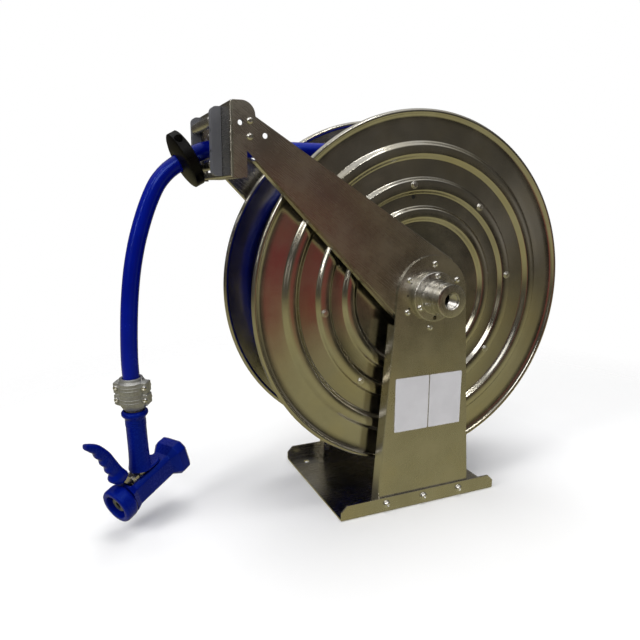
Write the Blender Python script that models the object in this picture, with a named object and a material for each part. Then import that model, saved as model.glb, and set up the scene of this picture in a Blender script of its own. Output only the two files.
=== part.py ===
"""Spring-rewind stainless hose reel with 3/4 inch hose and wash-down gun.

Frame: metres, +Z up, origin on the floor under the axle. The axle runs along Y, the
water inlet faces -Y and the hose leaves towards -X.
"""
import bpy
import bmesh
from math import atan2, cos, hypot, pi, radians, sin, tau
from mathutils import Matrix, Vector

MM = 0.001

# ------------------------------------------------------------------ clearances
SEAT = 0.3 * MM              # between pieces that touch on the real reel
HOLE_PLAY = 0.5 * MM         # a screw in its hole, on the radius
TURN_PLAY = 0.4 * MM         # a shaft in its bearing, on the radius
HOSE_PLAY = 0.9 * MM         # the hose in the stopper's bore, on the radius

FOLD_INSET = 0.05 * MM       # of a folded edge from the sheet's own edge

# ------------------------------------------------------------------ base channel
AXLE_HEIGHT = 370 * MM
BASE_LENGTH = 310 * MM
BASE_CENTRE_X = -8 * MM
BASE_SHEET = 3 * MM
BASE_FLANGE_HEIGHT = 26.6 * MM
BASE_CHAMFER = 10.8 * MM
ANCHOR_INSET = 30 * MM           # of the anchor holes from the base's edges
ANCHOR_HOLE_RADIUS = 5.5 * MM
BASE_BOLT_MIDDLE_X = -3 * MM
BASE_BOLT_SPACING = 74 * MM
BASE_BOLT_HEIGHT = 14.3 * MM

# ------------------------------------------------------------------ posts
SIDE_ROOM = 38.7 * MM            # from a disc's web to the outside of its post
POST_SHEET = 3 * MM
POST_TOP_RADIUS = 67 * MM
POST_SHOULDER_HALF_WIDTH = 69.5 * MM
POST_SHOULDER_DROP = 45 * MM     # below the axle
POST_FOOT_HALF_WIDTH = 94 * MM
POST_FLANGE_DEPTH = 22 * MM

# ------------------------------------------------------------------ arms
ARM_SHEET = 3 * MM
ARM_FLANGE_DEPTH = 17 * MM
ARM_HUB_RADIUS = 66 * MM
ARM_TOP_OFFSET = 71 * MM         # top edge line from the axle
ARM_TOP_SLOPE = radians(31.6)
ARM_LOW_OFFSET = 67 * MM         # lower edge line from the axle
ARM_LOW_SLOPE = radians(46.05)
ARM_FOLD_TOP_GAP = 8 * MM        # between a fold and the arm's corner
ARM_FOLD_LOW_GAP = 14 * MM
OUTLET_REACH = 333 * MM          # from the axle to the leg's outer edge
LEG_WIDTH = 19.7 * MM
LEG_HEIGHT = 103 * MM
LEG_RISE = 23.77 * MM            # of the leg's top over the shoulder
LEG_CORNER_RADIUS = 20 * MM
SHOULDER_INSET = 32.5 * MM       # of the shoulder from the leg's outer edge
ARM_PLAIN_HOLES = ((11.1 * MM, 29.3 * MM), (46.6 * MM, 46.3 * MM))    # in from the leg's edge, down from its top
ARM_PLAIN_HOLE_RADIUS = 4 * MM
OUTLET_SCREWS = ((24.6 * MM, 26.9 * MM), (24.1 * MM, 48.2 * MM))      # the same way

# ------------------------------------------------------------------ outlet bracket
BRACKET_SHEET = 3 * MM
BRACKET_LIP_DEPTH = 30 * MM
BRACKET_LIP_HALF_WIDTH = 60 * MM
BRACKET_RISE = 1 * MM            # of its lower edge over the legs'
CHEEK_DEPTH = 34.3 * MM
CHEEK_STEP = 6 * MM              # of the deep part of a cheek over the arm's lower edge
WINDOW_HALF_WIDTH = 50 * MM
WINDOW_LOW_MARGIN = 11 * MM      # from the legs' lower and upper ends
WINDOW_HIGH_MARGIN = 10 * MM
BLOCK_INNER_Y = 57 * MM
BLOCK_WIDTH = 13 * MM
BLOCK_DEPTH = 15 * MM
BLOCK_LOW_MARGIN = 3.5 * MM       # from the legs' lower and upper ends
BLOCK_HIGH_MARGIN = 2.8 * MM
BLOCK_CORNER = 8 * MM
ROLLER_RADIUS = 8.2 * MM
ROLLER_PIN_RADIUS = 3 * MM
TOP_ROLLER_DROP = 21 * MM        # from the legs' upper end
BOTTOM_ROLLER_RISE = 21.1 * MM   # from their lower end
LEVEL_ROLLER_OUT = 8.6 * MM      # from the back of its blocks
UPRIGHT_ROLLER_INSET = 15 * MM
UPRIGHT_ROLLER_Y = 32 * MM
ROLLER_END_PLAY = 1.0 * MM

# ------------------------------------------------------------------ drum
DISC_RADIUS = 300 * MM
DISC_SHEET = 1.5 * MM
DISC_WEB_Y = 82 * MM             # outer face of the flat web, from the mid plane
RIM_BEAD_RADIUS = 4.5 * MM
RIB_RISE = 6 * MM
RIBS = (                         # inner foot, inner crest, outer crest, outer foot, from the bolt circle
    (-60.8 * MM, -52.8 * MM, -41.0 * MM, -33.8 * MM),
    (-15.5 * MM, -8.8 * MM, 6.0 * MM, 12.8 * MM),
    (40.2 * MM, 49.2 * MM, 61.2 * MM, 70.2 * MM),
)
DISC_SEGMENTS = 30
DISC_BOLT_INSET = 9.2 * MM       # of the bolt circle from the core's wall
DISC_BOLT_COUNT = 8
DISC_BOLT_PHASE = radians(6.7)
DRAIN_HOLE = (-18.2 * MM, -20.2 * MM)     # across, and in from the bolt circle
DRAIN_HOLE_RADIUS = 3.6 * MM
CORE_RADIUS = 190 * MM
CORE_SHEET = 2 * MM
CORE_LIP = 30 * MM
SPRING_CASE_RADIUS = 110 * MM
SPRING_CASE_SHEET = 2 * MM
SPRING_CASE_LIP = 8 * MM
SPRING_CASE_DEPTH = 66.2 * MM
SPRING_STRIP = 1.6 * MM
SPRING_STRIP_WIDTH = 50 * MM
SPRING_TURNS = 5
SPRING_STEPS = 14                # points in one turn
SPRING_INNER_RADIUS = 22 * MM

# ------------------------------------------------------------------ axle parts
SHAFT_RADIUS = 20 * MM
SHAFT_BORE = 12 * MM
SHAFT_FLANGE_RADIUS = 60 * MM
SHAFT_FLANGE = 4 * MM
SHAFT_INSET = 20 * MM            # of its inner end from the web
SHAFT_END_GAP = 0.8 * MM         # to the bottom of the port
GOOSENECK_RADIUS = 11 * MM
GOOSENECK_RUN = 26 * MM          # along the axle, in its elbow
GOOSENECK_ANGLE = radians(-60)
ARBOR_RADIUS = 15 * MM
ARBOR_STUB = 4 * MM              # past the spring case's wall
ARBOR_NOSE = 5 * MM              # past its clamp
ARBOR_KEY_DEPTH = 4 * MM
ARBOR_SLOT = 4 * MM
BUSH_WALL = 6 * MM
BUSH_INSET = 7 * MM              # inside the web
BUSH_NOSE = 2.1 * MM             # past the ratchet wheel
BEARING_RADIUS = 60 * MM
BEARING_FLANGE = 8 * MM
FRONT_BOSS_RADIUS = 34 * MM
FRONT_BOSS_GAP = 13 * MM         # from the web
REAR_BOSS_GAP = 0.7 * MM         # from the bush
REAR_BOSS_RADIUS = 28 * MM
HUB_BOLT_CIRCLE = 52.8 * MM
HUB_BOLT_COUNT = 6
HUB_BOLT_PHASE = radians(-2.7 + 30)
PLATE_BORE = 26 * MM             # hole in posts and arms round the shaft and arbor
INLET_FLANGE_RADIUS = 41 * MM
INLET_FLANGE = 10 * MM
INLET_RADIUS = 27 * MM
INLET_LENGTH = 51 * MM
PORT_RADIUS = 12 * MM            # 3/4 inch female thread
PORT_DEPTH = 21.7 * MM
INLET_SCREW_CIRCLE = 34.5 * MM
INLET_SCREW_ANGLES = tuple(radians(a) for a in (88, 208, 328))
INLET_SPARE_HOLE_ANGLE = radians(268)
SEAL_SECTION = 3 * MM
SEAL_WIDTH = 4 * MM
SEAL_SPACING = 10 * MM
SEAL_INSET = 8.3 * MM            # from the bottom of the port
CLAMP_FLANGE_RADIUS = 38 * MM
CLAMP_FLANGE = 8 * MM
CLAMP_BOSS_RADIUS = 24 * MM
CLAMP_LENGTH = 20 * MM
CLAMP_SCREW_CIRCLE = 31 * MM

# ------------------------------------------------------------------ ratchet
RATCHET_TEETH = 12
RATCHET_ROOT = 50 * MM
RATCHET_TIP = 62 * MM
RATCHET_SHEET = 6 * MM
RATCHET_HUB_RADIUS = 34 * MM
RATCHET_HUB_HEIGHT = 8.9 * MM
PAWL_TOOTH_ANGLE = radians(150)
PAWL_REACH = 60 * MM             # from the tooth's root to the pivot, square to the tooth's face
PAWL_HUB_RADIUS = 9 * MM
PAWL_THICKNESS = 5 * MM
PAWL_PLAY = 0.8 * MM
PAWL_PIN_RADIUS = 4 * MM
PAWL_PIN_HEAD_RADIUS = 6.5 * MM
PAWL_PIN_HEAD = 2 * MM
PAWL_SPRING_TURNS = 3
PAWL_SPRING_WIRE = 0.8 * MM

# ------------------------------------------------------------------ hose
HOSE_RADIUS = 13.5 * MM
FIRST_LAYER_PLAY = 4.1 * MM      # between the core and the layer under the outer one
LAYER_PLAY = 0.4 * MM
WINDING_TURNS = 2.5
WINDING_GAP = 0.6 * MM
WINDING_STEPS = 24               # points in one loop
CLIMB_STEPS = 3
LAYER_BED = 2.5 * MM             # between the outer layer and what it lies on
TAIL_RUN = 116.2 * MM            # straight end of the winding, clear of the loops
HOSE_ROUTE = (                   # x, y, z of the free hose, from the drum to the coupling
    (-150.0, -8.3, 605.0), (-205.0, -5.0, 605.7),
    (-260.0, -1.5, 606.6), (-300.0, 0.0, 607.0), (-320.0, 0.0, 607.0),
    (-334.0, 0.0, 605.95), (-347.0, 0.0, 603.1), (-358.0, 0.0, 598.9),
    (-365.4, 0.0, 595.4), (-376.0, 0.0, 589.7), (-386.6, 0.0, 584.0),
    (-402.5, 0.0, 573.2), (-416.3, 0.0, 558.9), (-425.6, 0.0, 544.6),
    (-435.3, 0.0, 524.0), (-443.3, 0.0, 503.5), (-450.3, 0.0, 482.5),
    (-456.5, 0.0, 461.0), (-463.5, 0.0, 429.5), (-468.5, 0.0, 398.0),
    (-472.2, 0.0, 365.0), (-474.8, 0.0, 330.0), (-476.3, 0.0, 298.0),
    (-476.7, 0.0, 275.0), (-475.95, 0.0, 252.5), (-475.3, 0.0, 235.5),
    (-474.64, 0.0, 218.8),
)
ROUTE_LONG_STEP = 24 * MM        # a longer stretch of the route gets a point between

# ------------------------------------------------------------------ stopper
STOPPER_CENTRE = (-376 * MM, 0, 589.7 * MM)
STOPPER_SLOPE = radians(28.4)    # below level, towards -X
STOPPER_RADIUS = 44 * MM
STOPPER_HUB_RADIUS = 24 * MM
STOPPER_HALF_LENGTH = 13.5 * MM
STOPPER_RIM_HALF = 7.5 * MM
STOPPER_RIM_EDGE = 1 * MM        # its chamfer
STOPPER_SCREW_Y = 30 * MM
STOPPER_SCREW_SINK = 14 * MM
STOPPER_RECESS_RADIUS = 6 * MM

# ------------------------------------------------------------------ gun
GUN_ORIGIN = (-468.8 * MM, 0, 68.6 * MM)     # where handle and barrel axes cross
GUN_TILT = 0.0388                             # lean of the handle towards -X
BARREL_AZIMUTH = radians(213.95)
BARREL_DROP = radians(17.3)
BARREL_BODY_RADIUS = 13 * MM
BARREL_REAR = -58 * MM
BARREL_FRONT = 34 * MM
BARREL_BORE = 7 * MM
HANDLE_PIPE_RADIUS = 10 * MM
HANDLE_PIPE_BORE = 6 * MM
HANDLE_PIPE_TOP = 118 * MM
SLEEVE_RADIUS = 16.4 * MM
SLEEVE_BOTTOM = 27 * MM
SLEEVE_FLARE = 12 * MM           # height of its widened foot
SLEEVE_TAPER = 40 * MM           # height where it gets to its own radius
SLEEVE_BEAD_RADIUS = 21.5 * MM
SLEEVE_BEAD_TOP = 130 * MM
SLEEVE_CUP_RADIUS = 16 * MM
SLEEVE_CUP_BOTTOM = 121 * MM
LIP_THICKNESS = 5.5 * MM
LIP_FRONT = 19 * MM
LIP_REAR = -37 * MM
LIP_HALF_WIDTH = 19 * MM
LIP_RISE = 0.10                  # lift of the lip per length towards the rear
COVER_HALF = 20 * MM
COVER_BLOCK_HALF = 29 * MM
BUMPER_RADIUS = 29.5 * MM
BUMPER_FRONT = 58.7 * MM
BUMPER_RECESS_RADIUS = 20 * MM
NOZZLE_RADIUS = 13 * MM
NOZZLE_FRONT = 53 * MM
NOZZLE_BORE = 7.4 * MM
TAIL_COLLAR_RADIUS = 15 * MM
TAIL_COLLAR_BOTTOM = 128 * MM
TAIL_COLLAR = 3.5 * MM
TAIL_NECK_RADIUS = 11.2 * MM
TAIL_TOP = 149.7 * MM
TAIL_BARB_RADIUS = 12.8 * MM

# ------------------------------------------------------------------ trigger and valve
TRIGGER_PIVOT = (17.6 * MM, 17.0 * MM)        # forward of and above the gun origin
TRIGGER_PIN_RADIUS = 2.5 * MM
TRIGGER_HUB_RADIUS = 6.5 * MM
TRIGGER_HALF_WIDTH = 6 * MM
TRIGGER_ARM_HALF = 5.2 * MM
TRIGGER_LINE = (                 # middle of the lever, forward and up, from the pivot into the grip
    (30 * MM, 20.5 * MM), (37.5 * MM, 28 * MM), (50 * MM, 48 * MM), (61 * MM, 68 * MM),
)
TRIGGER_TOE = 3.2 * MM
TRIGGER_TOE_HALF_WIDTH = 4 * MM
TRIGGER_TOE_END = 3.4 * MM                    # above the stem's axis
EAR_SHEET = 4 * MM
EAR_HALF_LENGTH = 6 * MM
STEM_RADIUS = 2.5 * MM
STEM_HEAD_RADIUS = 6.3 * MM
STEM_GROOVE = 7 * MM
STEM_COLLAR = 2.5 * MM
STEM_COLLAR_RADIUS = 5.8 * MM
STEM_REAR = -52 * MM
STEM_FRONT = 30 * MM
GLAND_MIDDLE = -19 * MM
GLAND_LENGTH = 6 * MM
STEM_SPRING_TURNS = 5
STEM_SPRING_WIRE = 0.7 * MM

# ------------------------------------------------------------------ safety clamp
CLAMP_SPLIT_AZIMUTH = radians(240)            # the way the front half faces
CLAMP_BOTTOM = 132.3 * MM
CLAMP_TOP = 184.5 * MM
CLAMP_RADIUS = 22 * MM
CLAMP_EAR_HALF_WIDTH = 28 * MM
CLAMP_EAR = 8.5 * MM
CLAMP_BORE = 14.4 * MM
CLAMP_CLAW_BORE = 11.7 * MM
CLAMP_CLAW_TOP = 136.5 * MM
CLAMP_SPLIT = 0.8 * MM
CLAMP_BOLT_ACROSS = 23.6 * MM
CLAMP_BOLT_HEIGHTS = (149 * MM, 169 * MM)

# ------------------------------------------------------------------ labels
LABEL_SHEET = 0.6 * MM
LABELS = (("label_left", -65 * MM, 0), ("label_right", 2 * MM, 66.5 * MM))
LABEL_BOTTOM_Z = 141 * MM
LABEL_TOP_Z = 235 * MM

# ------------------------------------------------------------------ screws
SCREW_SIDES = 6
SCREW_SINK = 0.5 * MM            # of a head that is fused with its sheet
HUB_SCREW = (5.4 * MM, 3.2 * MM, 2.9 * MM)    # head radius, head height, shank radius
DISC_SCREW = (5.2 * MM, 3.9 * MM, 2.9 * MM)
BASE_SCREW = (6.5 * MM, 5.0 * MM, 3.9 * MM)
OUTLET_SCREW = (4.6 * MM, 3.0 * MM, 2.4 * MM)
CLAMP_SCREW = (4.4 * MM, 3.6 * MM, 2.4 * MM)
STOPPER_SCREW = (3.8 * MM, 4.0 * MM, 2.2 * MM)

# ------------------------------------------------------------------ worked-out places
POST_OUTER_Y = DISC_WEB_Y + SIDE_ROOM
BASE_WIDTH = 2 * (POST_OUTER_Y + SEAT + BASE_SHEET)
POST_INNER_Y = POST_OUTER_Y - POST_SHEET
ARM_OUTER_Y = POST_INNER_Y - SEAT
ARM_INNER_Y = ARM_OUTER_Y - ARM_SHEET
BEARING_SEAT_Y = ARM_INNER_Y - SEAT
LEG_OUTER_X = -OUTLET_REACH
LEG_INNER_X = LEG_OUTER_X + LEG_WIDTH
ARM_SHOULDER_X = LEG_OUTER_X + SHOULDER_INSET
ARM_SHOULDER_Z = AXLE_HEIGHT + (ARM_TOP_OFFSET - sin(ARM_TOP_SLOPE) * ARM_SHOULDER_X) / cos(ARM_TOP_SLOPE)
LEG_TOP_Z = ARM_SHOULDER_Z + LEG_RISE
LEG_BOTTOM_Z = LEG_TOP_Z - LEG_HEIGHT
BRACKET_FACE_X = LEG_OUTER_X - SEAT
BRACKET_HALF_WIDTH = ARM_INNER_Y - SEAT
WINDOW_BOTTOM_Z = LEG_BOTTOM_Z + WINDOW_LOW_MARGIN
WINDOW_TOP_Z = LEG_TOP_Z - WINDOW_HIGH_MARGIN
BLOCK_BOTTOM_Z = LEG_BOTTOM_Z + BLOCK_LOW_MARGIN
BLOCK_TOP_Z = LEG_TOP_Z - BLOCK_HIGH_MARGIN
BLOCK_BACK_X = BRACKET_FACE_X - BRACKET_SHEET - SEAT
TOP_ROLLER_Z = LEG_TOP_Z - TOP_ROLLER_DROP
BOTTOM_ROLLER_Z = LEG_BOTTOM_Z + BOTTOM_ROLLER_RISE
LEVEL_ROLLER_X = BLOCK_BACK_X - LEVEL_ROLLER_OUT
UPRIGHT_ROLLER_X = LEG_OUTER_X + UPRIGHT_ROLLER_INSET
DISC_BOLT_CIRCLE = CORE_RADIUS - DISC_BOLT_INSET
DISC_INNER_Y = DISC_WEB_Y - DISC_SHEET
LOWER_LAYER_RADIUS = CORE_RADIUS + FIRST_LAYER_PLAY + HOSE_RADIUS
WINDING_RADIUS = LOWER_LAYER_RADIUS + 2 * HOSE_RADIUS + LAYER_PLAY
WINDING_CORE_RADIUS = WINDING_RADIUS - HOSE_RADIUS - LAYER_BED
WINDING_PITCH = 2 * HOSE_RADIUS + WINDING_GAP
CLIMB_TURN = CLIMB_STEPS / WINDING_STEPS
CLIMB_START_Y = DISC_INNER_Y - SEAT - HOSE_RADIUS
WINDING_START_Y = CLIMB_START_Y - CLIMB_TURN * WINDING_PITCH
WINDING_END_Y = WINDING_START_Y - WINDING_TURNS * WINDING_PITCH
WINDING_LEAD = WINDING_PITCH / (tau * WINDING_RADIUS)    # sideways travel per length
RATCHET_HUB_Y = DISC_WEB_Y + SEAT
RATCHET_Y = RATCHET_HUB_Y + RATCHET_HUB_HEIGHT
PAWL_Y = RATCHET_Y + (RATCHET_SHEET - PAWL_THICKNESS) / 2
PAWL_PIVOT = (
    RATCHET_ROOT * cos(PAWL_TOOTH_ANGLE) + PAWL_REACH * sin(PAWL_TOOTH_ANGLE),
    RATCHET_ROOT * sin(PAWL_TOOTH_ANGLE) - PAWL_REACH * cos(PAWL_TOOTH_ANGLE),
)
SPRING_CASE_WALL_Y = DISC_INNER_Y - SEAT - SPRING_CASE_DEPTH
SPRING_STRIP_MIDDLE_Y = SPRING_CASE_WALL_Y + SPRING_CASE_DEPTH / 2
BUSH_RADIUS = ARBOR_RADIUS + TURN_PLAY + BUSH_WALL
BUSH_INNER_Y = DISC_WEB_Y - BUSH_INSET
BUSH_OUTER_Y = RATCHET_Y + RATCHET_SHEET + BUSH_NOSE
FRONT_BOSS_Y = DISC_WEB_Y + FRONT_BOSS_GAP
INLET_SEAT_Y = POST_OUTER_Y + SEAT
INLET_OUTER_Y = INLET_SEAT_Y + INLET_LENGTH
PORT_BOTTOM_Y = INLET_OUTER_Y - PORT_DEPTH
SEAL_MIDDLES_Y = (PORT_BOTTOM_Y - SEAL_INSET - SEAL_SPACING, PORT_BOTTOM_Y - SEAL_INSET)
SHAFT_INNER_Y = DISC_WEB_Y - SHAFT_INSET
SHAFT_OUTER_Y = PORT_BOTTOM_Y - SHAFT_END_GAP
GOOSENECK_Y = SHAFT_INNER_Y - GOOSENECK_RUN
CLAMP_BOSS_Y = INLET_SEAT_Y + CLAMP_LENGTH
ARBOR_INNER_Y = SPRING_CASE_WALL_Y - ARBOR_STUB
ARBOR_OUTER_Y = CLAMP_BOSS_Y + ARBOR_NOSE
HUB_HEIGHT = Vector((0, 0, AXLE_HEIGHT))

Y_AXIS = Matrix(((1, 0, 0, 0), (0, 0, 1, 0), (0, 1, 0, 0), (0, 0, 0, 1)))
SIDES = (("front", -1), ("rear", 1))


# ================================================================== tools
def clear_scene():
    for old in list(bpy.data.objects):
        bpy.data.objects.remove(old, do_unlink=True)


def material(name, colour, metallic, roughness):
    made = bpy.data.materials.new(name)
    made.use_nodes = True
    shader = made.node_tree.nodes["Principled BSDF"]
    shader.inputs["Base Color"].default_value = (*colour, 1)
    shader.inputs["Metallic"].default_value = metallic
    shader.inputs["Roughness"].default_value = roughness
    return made


def make_materials():
    looks = {
        "stainless": ((0.46, 0.44, 0.40), 1.0, 0.34),
        "machined": ((0.60, 0.59, 0.57), 1.0, 0.25),
        "fastener": ((0.72, 0.72, 0.71), 1.0, 0.22),
        "cast": ((0.62, 0.62, 0.59), 0.9, 0.5),
        "block": ((0.10, 0.11, 0.13), 0.0, 0.45),
        "black": ((0.012, 0.012, 0.013), 0.0, 0.4),
        "hose": ((0.004, 0.02, 0.42), 0.0, 0.28),
        "gun": ((0.01, 0.035, 0.50), 0.0, 0.38),
        "seal": ((0.02, 0.02, 0.02), 0.0, 0.6),
        "spring": ((0.30, 0.31, 0.33), 1.0, 0.35),
        "bronze": ((0.50, 0.33, 0.15), 1.0, 0.4),
        "paper": ((0.86, 0.86, 0.84), 0.0, 0.55),
    }
    return {name: look for name, look in looks.items()}


def empty(name, place, parent=None):
    made = bpy.data.objects.new(name, None)
    bpy.context.collection.objects.link(made)
    made.parent = parent
    made.matrix_local = place
    return made


def piece(name, bm, look, parent=None, place=None, smooth=35):
    """Turn a bmesh into a named object with its own material."""
    bmesh.ops.recalc_face_normals(bm, faces=bm.faces[:])
    mesh = bpy.data.meshes.new(name)
    bm.to_mesh(mesh)
    bm.free()
    made = bpy.data.objects.new(name, mesh)
    bpy.context.collection.objects.link(made)
    made.parent = parent
    if place is not None:
        made.matrix_local = place
    mesh.materials.append(material(name, *LOOKS[look]))
    if smooth:
        mesh.shade_smooth()
        mesh.set_sharp_from_angle(angle=radians(smooth))
    return made


def boolean(target, bm, operation, tag):
    """Join to, or cut from, a piece the shape in bm, kept as a hidden guide."""
    bmesh.ops.recalc_face_normals(bm, faces=bm.faces[:])
    mesh = bpy.data.meshes.new(target.name + "_" + tag)
    bm.to_mesh(mesh)
    bm.free()
    guide = bpy.data.objects.new(target.name + "_" + tag, mesh)
    bpy.context.collection.objects.link(guide)
    guide.parent = target.parent
    guide.matrix_local = target.matrix_local
    guide.hide_render = True
    guide.display_type = "WIRE"
    step = target.modifiers.new(tag, "BOOLEAN")
    step.operation = operation
    step.object = guide
    step.solver = "EXACT"
    return target


def lathe(bm, profile, sides, place, arc=tau, phase=0.0):
    """Turn (radius, height) points about the local Z of place.

    A profile that starts and ends on the axis is solid, any other is a closed ring.
    """
    full = abs(arc - tau) < 1e-6
    steps = sides if full else sides + 1
    rings = []
    for radius, height in profile:
        if radius == 0:
            rings.append([bm.verts.new(place @ Vector((0, 0, height)))])
            continue
        turn = [phase + arc * k / sides for k in range(steps)]
        ring = [place @ Vector((radius * cos(a), radius * sin(a), height)) for a in turn]
        rings.append([bm.verts.new(point) for point in ring])
    closed = profile[0][0] != 0
    pairs = list(zip(rings, rings[1:]))
    if closed:
        pairs.append((rings[-1], rings[0]))
    for low, high in pairs:
        for k in range(sides):
            k2 = (k + 1) % steps
            corners = [low[k % len(low)], low[k2 % len(low)], high[k2 % len(high)], high[k % len(high)]]
            unique = list(dict.fromkeys(corners))
            if len(unique) > 2:
                bm.faces.new(unique)
    if not full:
        for k in (0, steps - 1):
            bm.faces.new([ring[k] for ring in rings])


def ring_profile(inner, outer, low, high):
    return [(inner, low), (outer, low), (outer, high), (inner, high)]


def disc_profile(radius, low, high):
    return [(0, low), (radius, low), (radius, high), (0, high)]


def prism(bm, outline, low, high, place):
    """Extrude a flat outline from low to high along the local Z of place."""
    bottom = [bm.verts.new(place @ Vector((u, v, low))) for u, v in outline]
    top = [bm.verts.new(place @ Vector((u, v, high))) for u, v in outline]
    bm.faces.new(bottom)
    bm.faces.new(list(reversed(top)))
    for k in range(len(outline)):
        k2 = (k + 1) % len(outline)
        bm.faces.new([bottom[k], bottom[k2], top[k2], top[k]])


def rectangle(low_u, high_u, low_v, high_v):
    return [(low_u, low_v), (high_u, low_v), (high_u, high_v), (low_u, high_v)]


def arc_points(centre, radius, start, stop, steps):
    turn = [start + (stop - start) * k / steps for k in range(steps + 1)]
    return [(centre[0] + radius * cos(a), centre[1] + radius * sin(a)) for a in turn]


def loft(bm, sections):
    """Bridge closed loops that all have the same number of points, and cap the ends."""
    loops = [[bm.verts.new(point) for point in section] for section in sections]
    count = len(loops[0])
    for low, high in zip(loops, loops[1:]):
        for k in range(count):
            k2 = (k + 1) % count
            bm.faces.new([low[k], low[k2], high[k2], high[k]])
    bm.faces.new(loops[0])
    bm.faces.new(list(reversed(loops[-1])))


def tube(bm, points, radius, sides):
    """Sweep a round section along a run of points, without twist."""
    points = [Vector(point) for point in points]
    ahead = [(b - a).normalized() for a, b in zip(points, points[1:])]
    tangents = [ahead[0]]
    for before, after in zip(ahead, ahead[1:]):
        tangents.append((before + after).normalized())
    tangents.append(ahead[-1])
    side = tangents[0].orthogonal().normalized()
    sections = []
    for point, tangent in zip(points, tangents):
        side = (side - side.dot(tangent) * tangent).normalized()
        other = tangent.cross(side)
        turn = [tau * k / sides for k in range(sides)]
        sections.append([point + radius * (cos(a) * side + sin(a) * other) for a in turn])
    loft(bm, sections)


def frame_at(origin, along, across=None):
    """A frame whose local Z runs along a direction."""
    z_axis = Vector(along).normalized()
    if across is None:
        across = z_axis.orthogonal()
    x_axis = Vector(across)
    x_axis = (x_axis - x_axis.dot(z_axis) * z_axis).normalized()
    y_axis = z_axis.cross(x_axis)
    place = Matrix((x_axis, y_axis, z_axis)).transposed().to_4x4()
    place.translation = Vector(origin)
    return place


def screw(bm, seat, outwards, size, length, sink=0.0):
    """A domed screw whose head stands on seat and whose shank runs inwards.

    A head that is fused with its sheet sinks a little below the face.
    """
    head_radius, head_height, shank_radius = size
    profile = [
        (0, head_height), (0.72 * head_radius, 0.85 * head_height), (head_radius, -sink),
        (shank_radius, -sink), (shank_radius, -length), (0, -length),
    ]
    lathe(bm, profile, SCREW_SIDES, frame_at(seat, outwards))


def hole(bm, middle, along, radius, half_length, sides=8):
    lathe(bm, disc_profile(radius, -half_length, half_length), sides, frame_at(middle, along))


def on_circle(radius, count, phase):
    turn = [phase + tau * k / count for k in range(count)]
    return [(radius * cos(a), radius * sin(a)) for a in turn]


def tube_curve(name, points, radius, resolution, look, parent=None):
    """An unbroken hose as a round-bevelled poly curve with filled ends."""
    curve = bpy.data.curves.new(name, "CURVE")
    curve.dimensions = "3D"
    curve.bevel_depth = radius
    curve.bevel_resolution = resolution
    curve.use_fill_caps = True
    spline = curve.splines.new("POLY")
    spline.points.add(len(points) - 1)
    for knot, point in zip(spline.points, points):
        knot.co = (*point, 1)
    made = bpy.data.objects.new(name, curve)
    bpy.context.collection.objects.link(made)
    made.parent = parent
    curve.materials.append(material(name, *LOOKS[look]))
    return made


# ================================================================== frame
def build_base():
    half_length = BASE_LENGTH / 2
    half_width = BASE_WIDTH / 2
    section = [
        (-half_width, 0), (half_width, 0), (half_width, BASE_FLANGE_HEIGHT),
        (half_width - BASE_SHEET, BASE_FLANGE_HEIGHT), (half_width - BASE_SHEET, BASE_SHEET),
        (BASE_SHEET - half_width, BASE_SHEET), (BASE_SHEET - half_width, BASE_FLANGE_HEIGHT),
        (-half_width, BASE_FLANGE_HEIGHT),
    ]
    along_x = Matrix(((0, 0, 1, BASE_CENTRE_X), (1, 0, 0, 0), (0, 1, 0, 0), (0, 0, 0, 1)))
    bm = bmesh.new()
    prism(bm, section, -half_length, half_length, along_x)
    base = piece("base_plate", bm, "stainless")
    cuts = bmesh.new()
    spare = BASE_CHAMFER / 2
    for end in (-1, 1):
        tip_x = BASE_CENTRE_X + end * (half_length + spare)
        low_z = BASE_FLANGE_HEIGHT - BASE_CHAMFER - spare
        high_z = BASE_FLANGE_HEIGHT + spare
        wedge = [(tip_x, low_z), (tip_x, high_z), (tip_x - end * (high_z - low_z), high_z)]
        prism(cuts, wedge, -BASE_WIDTH, BASE_WIDTH, Y_AXIS)
    for x in (-1, 1):
        for y in (-1, 1):
            middle = (BASE_CENTRE_X + x * (half_length - ANCHOR_INSET), y * (half_width - ANCHOR_INSET), 0)
            hole(cuts, middle, (0, 0, 1), ANCHOR_HOLE_RADIUS, 2 * BASE_SHEET, sides=12)
    boolean(base, cuts, "DIFFERENCE", "holes")
    bolts = bmesh.new()
    for x in base_bolt_places():
        for side in (-1, 1):
            seat = (x, side * half_width, BASE_BOLT_HEIGHT)
            screw(bolts, seat, (0, side, 0), BASE_SCREW, BASE_SHEET + POST_SHEET + 5 * MM, SCREW_SINK)
    boolean(base, bolts, "UNION", "bolts")


def base_bolt_places():
    return [BASE_BOLT_MIDDLE_X + k * BASE_BOLT_SPACING for k in (-1, 0, 1)]


def edge_strip(start, stop, depth):
    """A strip of the given depth on the left of the line from start to stop."""
    along = (Vector(stop) - Vector(start)).normalized()
    inwards = Vector((-along.y, along.x))
    near = inwards * FOLD_INSET
    far = inwards * depth
    a, b = Vector(start), Vector(stop)
    return [tuple(a + near), tuple(b + near), tuple(b + far), tuple(a + far)]


def hub_bore(cuts, middle_y, half_length):
    hole(cuts, (0, middle_y, AXLE_HEIGHT), (0, 1, 0), PLATE_BORE, half_length, sides=20)


def hub_holes(cuts, middle_y, half_length):
    """The ring of screw holes round the axle."""
    for x, z in on_circle(HUB_BOLT_CIRCLE, HUB_BOLT_COUNT, HUB_BOLT_PHASE):
        middle = (x, middle_y, AXLE_HEIGHT + z)
        hole(cuts, middle, (0, 1, 0), HUB_SCREW[2] + HOLE_PLAY, half_length)


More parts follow.
